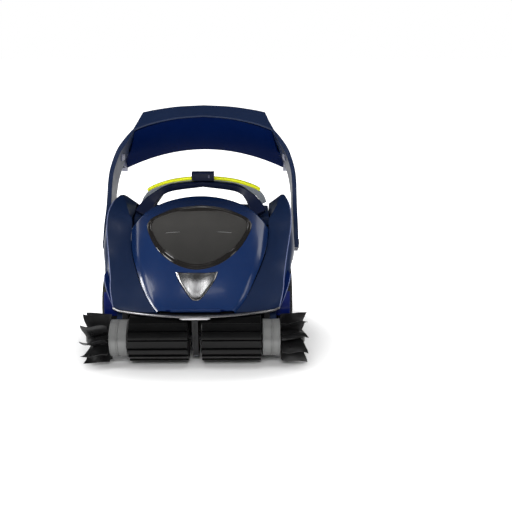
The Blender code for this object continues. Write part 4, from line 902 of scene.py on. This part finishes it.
def make_nose():
    piece("nose_strip", swept_bar(strip_section, NOSE_HALF, 96), "metal", "trim_strip",
          sharp=35, bevel=0.0003)
    ribs = [box((side * x - 0.0008, nose_point(x, 0, 0).y + 0.009, 0.0968),
                (side * x + 0.0008, -0.1735, 0.0984))
            for side in SIDES.values() for x in (0.012, 0.03, 0.048, 0.066)]
    piece("nose_bumper", merged(swept_bar(bar_section, 0.143, 48),
                                swept_bar(plate_section, 0.07, 24), *ribs),
          "black", "front_bumper", sharp=35)
    keeper = prism(mm((-30, 94.8), (-22, 92.8), (22, 92.8), (30, 94.8), (27, 96.2), (-27, 96.2)),
        -0.2068, -0.205, "Y")
    piece("strip_keeper", keeper, "metal", bevel=0.0004)


# ---- front brushes
BRUSH_AXLE = (-0.19, 0.0505)                # Y, Z
BRUSH = (0, *BRUSH_AXLE)
ROLLER_IN, ROLLER_OUT = 0.013, 0.125
LAMELLAS, VANES, GEAR_TEETH = 16, 10, 9


def round_axle(axle, radius, angle, x):
    return Vector((x, axle[0] + radius * cos(angle), axle[1] + radius * sin(angle)))


def toothed(count, outline, levels):
    """Rings of count teeth, each (share of a tooth, radius) points; levels are (x, shrink)."""
    corners = [(2 * pi * (k + t) / count, radius) for k in range(count) for t, radius in outline]
    return [[round_axle(BRUSH_AXLE, radius - shrink, angle, x) for angle, radius in corners]
            for x, shrink in levels]


def make_roller(name, side):
    """A ribbed sleeve of overlapping lamellas, and its shaft with the brush gear."""
    body = name + "_brush"
    length = ROLLER_OUT - ROLLER_IN
    lamella = [(0.35 + t, radius) for t, radius in (
        (0, 0.039), (0.03, 0.0438), (0.07, 0.0445), (0.13, 0.0444), (0.35, 0.0434),
        (0.6, 0.0427), (0.85, 0.042), (0.93, 0.0416), (0.96, 0.039))]
    inner_levels = [ROLLER_IN + 0.0012] + [ROLLER_IN + length * i / 8 for i in range(1, 8)] + \
        [ROLLER_OUT - 0.0012]
    levels = [(ROLLER_IN, 0.001)] + [(x, 0) for x in inner_levels] + [(ROLLER_OUT, 0.001)]
    skin = toothed(LAMELLAS, lamella, [(side * x, shrink) for x, shrink in levels])
    bore = toothed(LAMELLAS, [(t, 0.0312) for t, _ in lamella],
                   [(side * x, 0) for x in (ROLLER_OUT, ROLLER_IN)])
    piece(name + "_roller_lamellas", loft(skin + bore, "tube"), "rubber", name + "_roller_sleeve",
          body, sharp=24)
    core = spun(mm(
        (3.5, 0), (3.5, 4.9), (12.1, 4.9), (12.1, 29), (12.8, 30.8), (125.2, 30.8), (125.9, 29),
        (125.9, 4.9), (205, 4.9), (205, 0)), BRUSH, "X", 48, False, side)
    spokes = [loft([[round_axle(BRUSH_AXLE, r, pi * k / 3 + half / r, side * x)
                     for r, half in ((0.01, -0.0012), (0.028, -0.0012), (0.028, 0.0012),
                                     (0.01, 0.0012))] for x in (0.0116, 0.0124)])
              for k in range(6)]
    tooth = [(-0.3, 0.0178), (-0.2, 0.0222), (-0.09, 0.0262), (0.09, 0.0262), (0.2, 0.0222),
             (0.3, 0.0178)]
    gear = loft(toothed(GEAR_TEETH, tooth, [(side * 0.1432, 0), (side * 0.1508, 0)]))
    piece(name + "_roller_shaft", merged(core, *spokes, gear), "black", name + "_roller_core",
          body, sharp=30)


def vane(side, k, turn):
    """One cupped vane: a thin sheet that narrows to its rim."""
    rings = []
    for i in range(13):
        u = i / 12
        front, back = [], []
        for j in range(11):
            v = j / 10
            radius = 0.015 + 0.0344 * v * (1 - 0.1 * (1 - u) * v)
            reach = 0.0435 + 0.0062 * v ** 1.6 - 0.0065 * (1 - v)
            x = min(0.1632 + reach * u + 0.0006 * sin(9 * v + k), 0.2126)
            angle = turn + 0.42 * v ** 1.5 * (0.35 + 0.65 * u) - 0.3 * u + \
                0.05 * sin(2.2 * pi * u) * v
            point = round_axle(BRUSH_AXLE, radius, side * angle, side * x)
            out = (point - Vector((point.x, *BRUSH_AXLE))).normalized()
            half = out.cross(Vector((1, 0, 0))) * 0.0017 * (1 - 0.062 * j) * (1 - 0.35 * u)
            front.append(point + half)
            back.append(point - half)
        rings.append(front + back[::-1])
    return loft(rings)


def make_side_brush(name, side):
    """Ten broad vanes on a hub, and its grey end cap."""
    body = name + "_brush"
    hub = spun(mm((163, 5.6), (163, 17.5), (164, 18.5), (195, 17), (203.5, 15), (205.7, 12.5),
        (205.9, 5.6)), BRUSH, "X", 48, side=side)
    vanes = [vane(side, k, 2 * pi * (k + 0.18) / VANES) for k in range(VANES)]
    piece(name + "_brush_vanes", merged(hub, *vanes), "vane", name + "_side_brush", body, sharp=38)
    cap = spun(mm(
        (205.5, 0), (205.5, 10), (207, 10.4), (208.5, 9.2), (209.1, 6), (208.5, 4.8), (208.5, 0)),
        BRUSH, "X", 40, False, side)
    piece(name + "_brush_cap", cap, "grey", body=body, sharp=35)


def make_guard(name, side):
    """The blue panel over a front wheel's tread, with a rolled outer edge."""
    section = mm(
        (156, 80.6), (181.2, 80.6), (182.4, 80.9), (182.9, 81.6), (182.9, 82.7), (182.4, 83),
        (181.2, 83), (180.6, 82.7), (156, 82.7))
    rings = [[round_axle(AXLES["front"], radius, radians(181 - 1.1 * step),
                         side * x) for x, radius in section] for step in range(31)]
    piece(name + "_guard", loft(rings), "side", name + "_wheel_guard", bevel=0.0003)


def make_housing(name, side):
    """The grey drum at a roller's outer end: two halves with a seam and a rolled rim."""
    drum = spun(mm(
        (127.3, 5.6), (127.3, 33.8), (127.9, 35), (129, 35.6), (130.2, 35.6), (130.6, 35),
        (131.2, 35), (143.7, 35), (144, 33.8), (145, 33.8), (145.3, 35), (147.5, 35),
        (147.7, 34.4), (148.2, 34.4), (148.4, 35), (158, 35), (158.6, 35.6), (160, 35.6),
        (160.8, 35), (161.1, 34), (161.1, 5.6)), BRUSH, "X", 96, side=side)
    piece(name + "_drum", drum, "grey", name + "_brush_housing", sharp=30)
    neck = prism(mm((-174.5, 80), (-160, 74.5), (-155.5, 80), (-164, 92.5), (-170, 92.5)),
        side * 0.131, side * 0.142)
    piece(name + "_drum_neck", neck, "black", bevel=0.0012)


def make_centre_bearing():
    outline = smooth_pairs(mm(
        (-198.5, 16.3), (-181.5, 16.3), (-176.5, 38), (-176.5, 70), (-174.5, 86), (-174.2, 93.8),
        (-190, 95), (-205.6, 95), (-207.6, 70), (-205.8, 38), (-198.5, 16.3)), 4)[:-1]
    strut = piece("centre_strut", prism(outline, -0.0058, 0.0058), "black", "centre_bearing")
    cut(strut, rod((-0.02, *BRUSH_AXLE), (0.02, *BRUSH_AXLE), 0.0054, 40))
    cut(strut, box((-0.0022, -0.212, 0.03), (0.0022, -0.204, 0.088)))
    bevelled(strut, 0.0007)
    foot = spun(mm(
        (12.8, 0), (12.8, 4), (14.6, 6.2), (16.6, 6.2), (16.6, 0)), (0, -0.19, 0), "Z", 32, False)
    piece("centre_foot", foot, "pale", sharp=35)


# ---- wheels
TREADS = 36


def make_tyre(side, axle, name, body):
    """A tyre with two rows of staggered tread blocks over a grooved carcass."""
    carcass = spun(mm(
        (160.4, 63.3), (160.4, 73.5), (161.2, 75), (162.5, 75.4), (173.8, 75.4), (174.2, 74.4),
        (175.2, 74.4), (175.6, 75.4), (186.2, 75.2), (188, 73.8), (188.7, 71.5), (188.8, 65),
        (188.4, 63.3)), (0, *axle), "X", 96, side=side)
    blocks = []
    for k in range(TREADS):
        for low, high, shift in ((0.1608, 0.1736, 0), (0.1758, 0.1868, 0.5)):
            middle = 2 * pi * (k + shift) / TREADS
            rings = []
            for radius, shrink in ((0.0748, 0), (0.0774, 0.0004), (0.0779, 0.0012)):
                a, b = side * (low + shrink), side * (high - shrink)
                half = 0.6 * pi / TREADS - shrink / 0.078
                rings.append([round_axle(axle, radius, middle + turn, x) for turn, x in
                              ((-half, a), (half, a), (half + 0.035, b), (0.035 - half, b))])
            blocks.append(loft(rings))
    piece(name + "_tread", merged(carcass, *blocks), "tyre", name + "_tyre", body, sharp=30)


def make_wheel(side, axle, name, body):
    """The disc: a rim, six spokes with pockets between them, a hub and its cap."""
    dress("black", name + "_wheel")
    spokes = []
    for k in range(6):
        middle = pi * k / 3 + pi / 6
        spokes.append(loft([[round_axle(axle, radius, middle + share * half / radius, side * x)
                             for share, x in ((-1, 0.1807), (-0.7, 0.1862), (0.7, 0.1862),
                                              (1, 0.1807))]
                            for radius, half in ((0.0195, 0.0052), (0.036, 0.004),
                                                 (0.0535, 0.0062))]))
    rim = spun(mm(
        (180.6, 52.5), (187, 55.2), (188.2, 56.6), (188.4, 61.2), (187.6, 62), (180.6, 62)),
        (0, *axle), "X", 96, side=side)
    piece(name + "_spokes", merged(rim, *spokes), "black", body=body, sharp=35)
    cap = spun(mm((188, 0), (188, 15), (189, 16.5), (190, 16), (190.8, 12), (191, 0)),
        (0, *axle), "X", 48, False, side)
    piece(name + "_hub_cap", cap, "grey", body=body, sharp=35)


# ---- hoop and rear end
HOOP_Y = 0.16
HOOP = smooth_path([(0.144, HOOP_Y, 0.239), (0.136, HOOP_Y, 0.2545),
                    (0.119, HOOP_Y, 0.269), (0.08, HOOP_Y, 0.283),
                    (0.04, HOOP_Y, 0.2895), (0, HOOP_Y, 0.2915)], 12)
OUTLET_Y, DUCT_RADIUS = 0.112, 0.05
OUTLET = (0, OUTLET_Y, 0)
CORD_Z = 0.15


def along_hoop(points, section):
    """Sections square to the hoop's line: each is (up from the line, to the rear)."""
    whole = points + mirrored(points[-2::-1])
    rings = []
    for i, point in enumerate(whole):
        along = (whole[min(i + 1, len(whole) - 1)] - whole[max(i - 1, 0)]).normalized()
        up = Vector((along.z, 0, -along.x))
        rings.append([point + up * rise + Vector((0, back, 0)) for rise, back in section])
    return loft(rings)


def make_hoop():
    lower = mm(
        (-13, -7.8), (-13, 10), (-11.8, 11), (-7, 11), (-6.6, 10.4), (-5.8, 10.4), (-5.4, 11),
        (-1, 11), (-0.3, 10.3), (-0.3, -8.3), (-1, -9), (-5.4, -9), (-5.8, -8.4), (-6.6, -8.4),
        (-7, -9), (-11.8, -9))
    piece("hoop_frame", along_hoop(HOOP, lower), "pale", "outlet_hoop", sharp=30, bevel=0.0003)
    upper = mm((0, -8.3), (0.3, -8.5), (4, -8.5), (5, -7.9), (5.5, -6.8), (5.5, 8.8), (5, 9.9),
        (4, 10.5), (0.3, 10.5), (0, 10.3))
    piece("hoop_band", along_hoop(HOOP[20:], upper), "lime", "accent_band")


def rear_point(x, y, z):
    return Vector((x, y, z - 0.006 * (x / 0.147) ** 2 * smooth_step(0.1, 0.2, z)))


def make_rear_cover():
    profile = smooth_pairs(mm(
        (53, 215), (56, 228), (66, 234.5), (110, 237.8), (150, 236.8), (178, 225.8), (194, 205),
        (201.8, 170), (204.8, 120), (204.8, 70)), 8)
    columns = [0.1465 * (i / 24 - 1) for i in range(49)]
    skin = loft([[rear_point(x, y, z) for x in columns] for y, z in profile], "sheet")
    cover = piece("rear_skin", skin, "navy", "rear_cover", sharp=50, wall=0.003,
                  outward=(0, 0.5, 1))
    cut(cover, rod((0, OUTLET_Y, 0.2), (0, OUTLET_Y, 0.26), DUCT_RADIUS + 0.0015, 96))
    cut(cover, rod((0, 0.19, CORD_Z), (0, 0.22, CORD_Z), 0.0125, 48))
    vents = []
    for row in range(5):
        z, half = 0.088 + 0.008 * row, 0.03 - 0.0016 * row
        for side in SIDES.values():
            outline = [(side * 0.085 + x, z + up) for x, up in (
                (-half, 0), (0.002 - half, -0.0015), (half - 0.002, -0.0015), (half, 0),
                (half - 0.002, 0.0015), (0.002 - half, 0.0015))]
            vents.append(prism(outline, 0.195, 0.215, "Y"))
    vents.append(box((-0.2, 0.2042, 0.138), (-0.03, 0.208, 0.1392)))
    vents.append(box((0.03, 0.2036, 0.138), (0.2, 0.208, 0.1392)))
    cut(cover, merged(*vents))
    cover.data.set_sharp_from_angle(angle=radians(36))
    bevelled(cover, 0.0006, angle=40)


def make_pump():
    """The duct, the grille's ring and bars over it, and the propeller in it."""
    duct = spun([(0.169, DUCT_RADIUS), (0.2262, DUCT_RADIUS), (0.227, 0.0494),
                 (0.227, 0.0478), (0.2262, 0.047), (0.17, 0.047), (0.169, 0.0476)],
                OUTLET, "Z", 96)
    piece("outlet_duct", duct, "black", "pump_duct", sharp=35)
    ring = spun(mm(
        (227.5, 49.8), (232.5, 49.8), (233.5, 48.8), (233.5, 46.2), (232.8, 45), (227.5, 45)),
        OUTLET, "Z", 96)
    bars = []
    for x in (-0.024, 0, 0.024):
        reach = sqrt((DUCT_RADIUS - 0.003) ** 2 - x ** 2)
        outline = [(x + half, z) for half, z in mm(
            (-1.2, 228.4), (-1.2, 231.8), (-0.7, 232.8), (0.7, 232.8), (1.2, 231.8), (1.2, 228.4))]
        bars.append(prism(outline, OUTLET_Y - reach, OUTLET_Y + reach, "Y"))
    piece("grille_ring", merged(ring, *bars), "grey", "outlet_grille", sharp=35, bevel=0.0002)
    hub = spun(mm(
        (155, 0), (155, 4.9), (188.5, 4.9), (189, 13.5), (206, 14.5), (210, 12), (212.5, 7),
        (213.8, 0)), OUTLET, "Z", 48, False)
    blades = []
    for k in range(5):
        rings = []
        for t in (i / 8 for i in range(9)):
            radius, half = 0.012 + 0.0305 * t, 0.3 - 0.04 * t
            base = 2 * pi * k / 5 + 0.1 * t
            rings.append([Vector((radius * cos(angle), OUTLET_Y + radius * sin(angle), z))
                          for angle, z in ((base - half, 0.1908), (base, 0.2002),
                                           (base + half, 0.209), (base + half, 0.2098),
                                           (base, 0.2022), (base - half, 0.1916))])
        blades.append(loft(rings))
    piece("propeller_rotor", merged(hub, *blades), "grey", "propeller", "propeller")


def make_gland():
    """The cord's inlet: a ribbed nut in the rear wall and the socket that turns in it."""
    nut = spun(mm(
        (198.5, 8.8), (198.5, 12.2), (206.2, 12.2), (206.2, 17.8), (207, 18.5), (208.8, 18.2),
        (210.6, 17.4), (211, 16.8), (211, 8.8)), (0, 0, CORD_Z), "Y", 72)
    ribs = []
    for k in range(18):
        angle = 2 * pi * k / 18
        ribs.append(loft([[Vector(((radius + rise) * cos(angle + turn), y,
                                   CORD_Z + (radius + rise) * sin(angle + turn)))
                           for rise, turn in ((-0.001, -0.07), (0.0004, -0.04),
                                              (0.0004, 0.04), (-0.001, 0.07))]
                          for y, radius in ((0.2068, 0.0184), (0.2104, 0.0173))]))
    piece("gland_nut", merged(nut, *ribs), "grey", "cable_gland", sharp=35)
    socket = spun(mm(
        (196, 4.8), (196, 8.4), (211.2, 8.4), (211.4, 12.8), (212.2, 13.1), (217, 12.7),
        (218, 11.8), (219, 12.5), (223, 11.9), (224, 10.8), (225, 11.5), (229, 10.9), (230, 9.8),
        (231, 10.4), (235.2, 7.9), (236, 7), (236, 4.8)), (0, 0, CORD_Z), "Y", 64)
    piece("swivel_socket", socket, "black", "cable_swivel", "cable_swivel", sharp=35)


# ---- what CAD gives as is
CARRIED = {"black": ("chassis_tub", "canister_tray", "canister_frame", "canister_rim",
                     "canister_catch"),
           "navy": ("left_gear_cover", "right_gear_cover"), "dark": ("lid_hinge_rod",),
           "grey": ("motor_block",), "mesh": ("canister_screen",), "clear": ("intake_duct",),
           "gear": tuple(side + gear for side in SIDES for gear in
                         ("_motor_pinion", "_transfer_gear", "_brush_idler"))}


def dress(look, *names):
    """Give CAD nodes that stay a look's material."""
    for name in names:
        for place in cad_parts[name].material_slots:
            place.material = LOOKS[look]


# ---- build
make_room()
make_floor()
for lamp in LAMPS:
    softbox(*lamp)
for make in (make_lid, make_badge, make_window, make_grip, make_latch, make_handle, make_float,
             make_nose, make_centre_bearing, make_hoop, make_rear_cover, make_pump,
             make_gland):
    make()
for side_name, side in SIDES.items():
    for make in (make_fender, make_fender_web, make_roller, make_side_brush, make_housing,
                 make_guard):
        make(side_name, side)
    for end, axle in AXLES.items():
        wheel = side_name + "_" + end
        make_tyre(side, axle, wheel, wheel + "_wheel_body")
        make_wheel(side, axle, wheel, wheel + "_wheel_body")
for look, names in CARRIED.items():
    dress(look, *names)
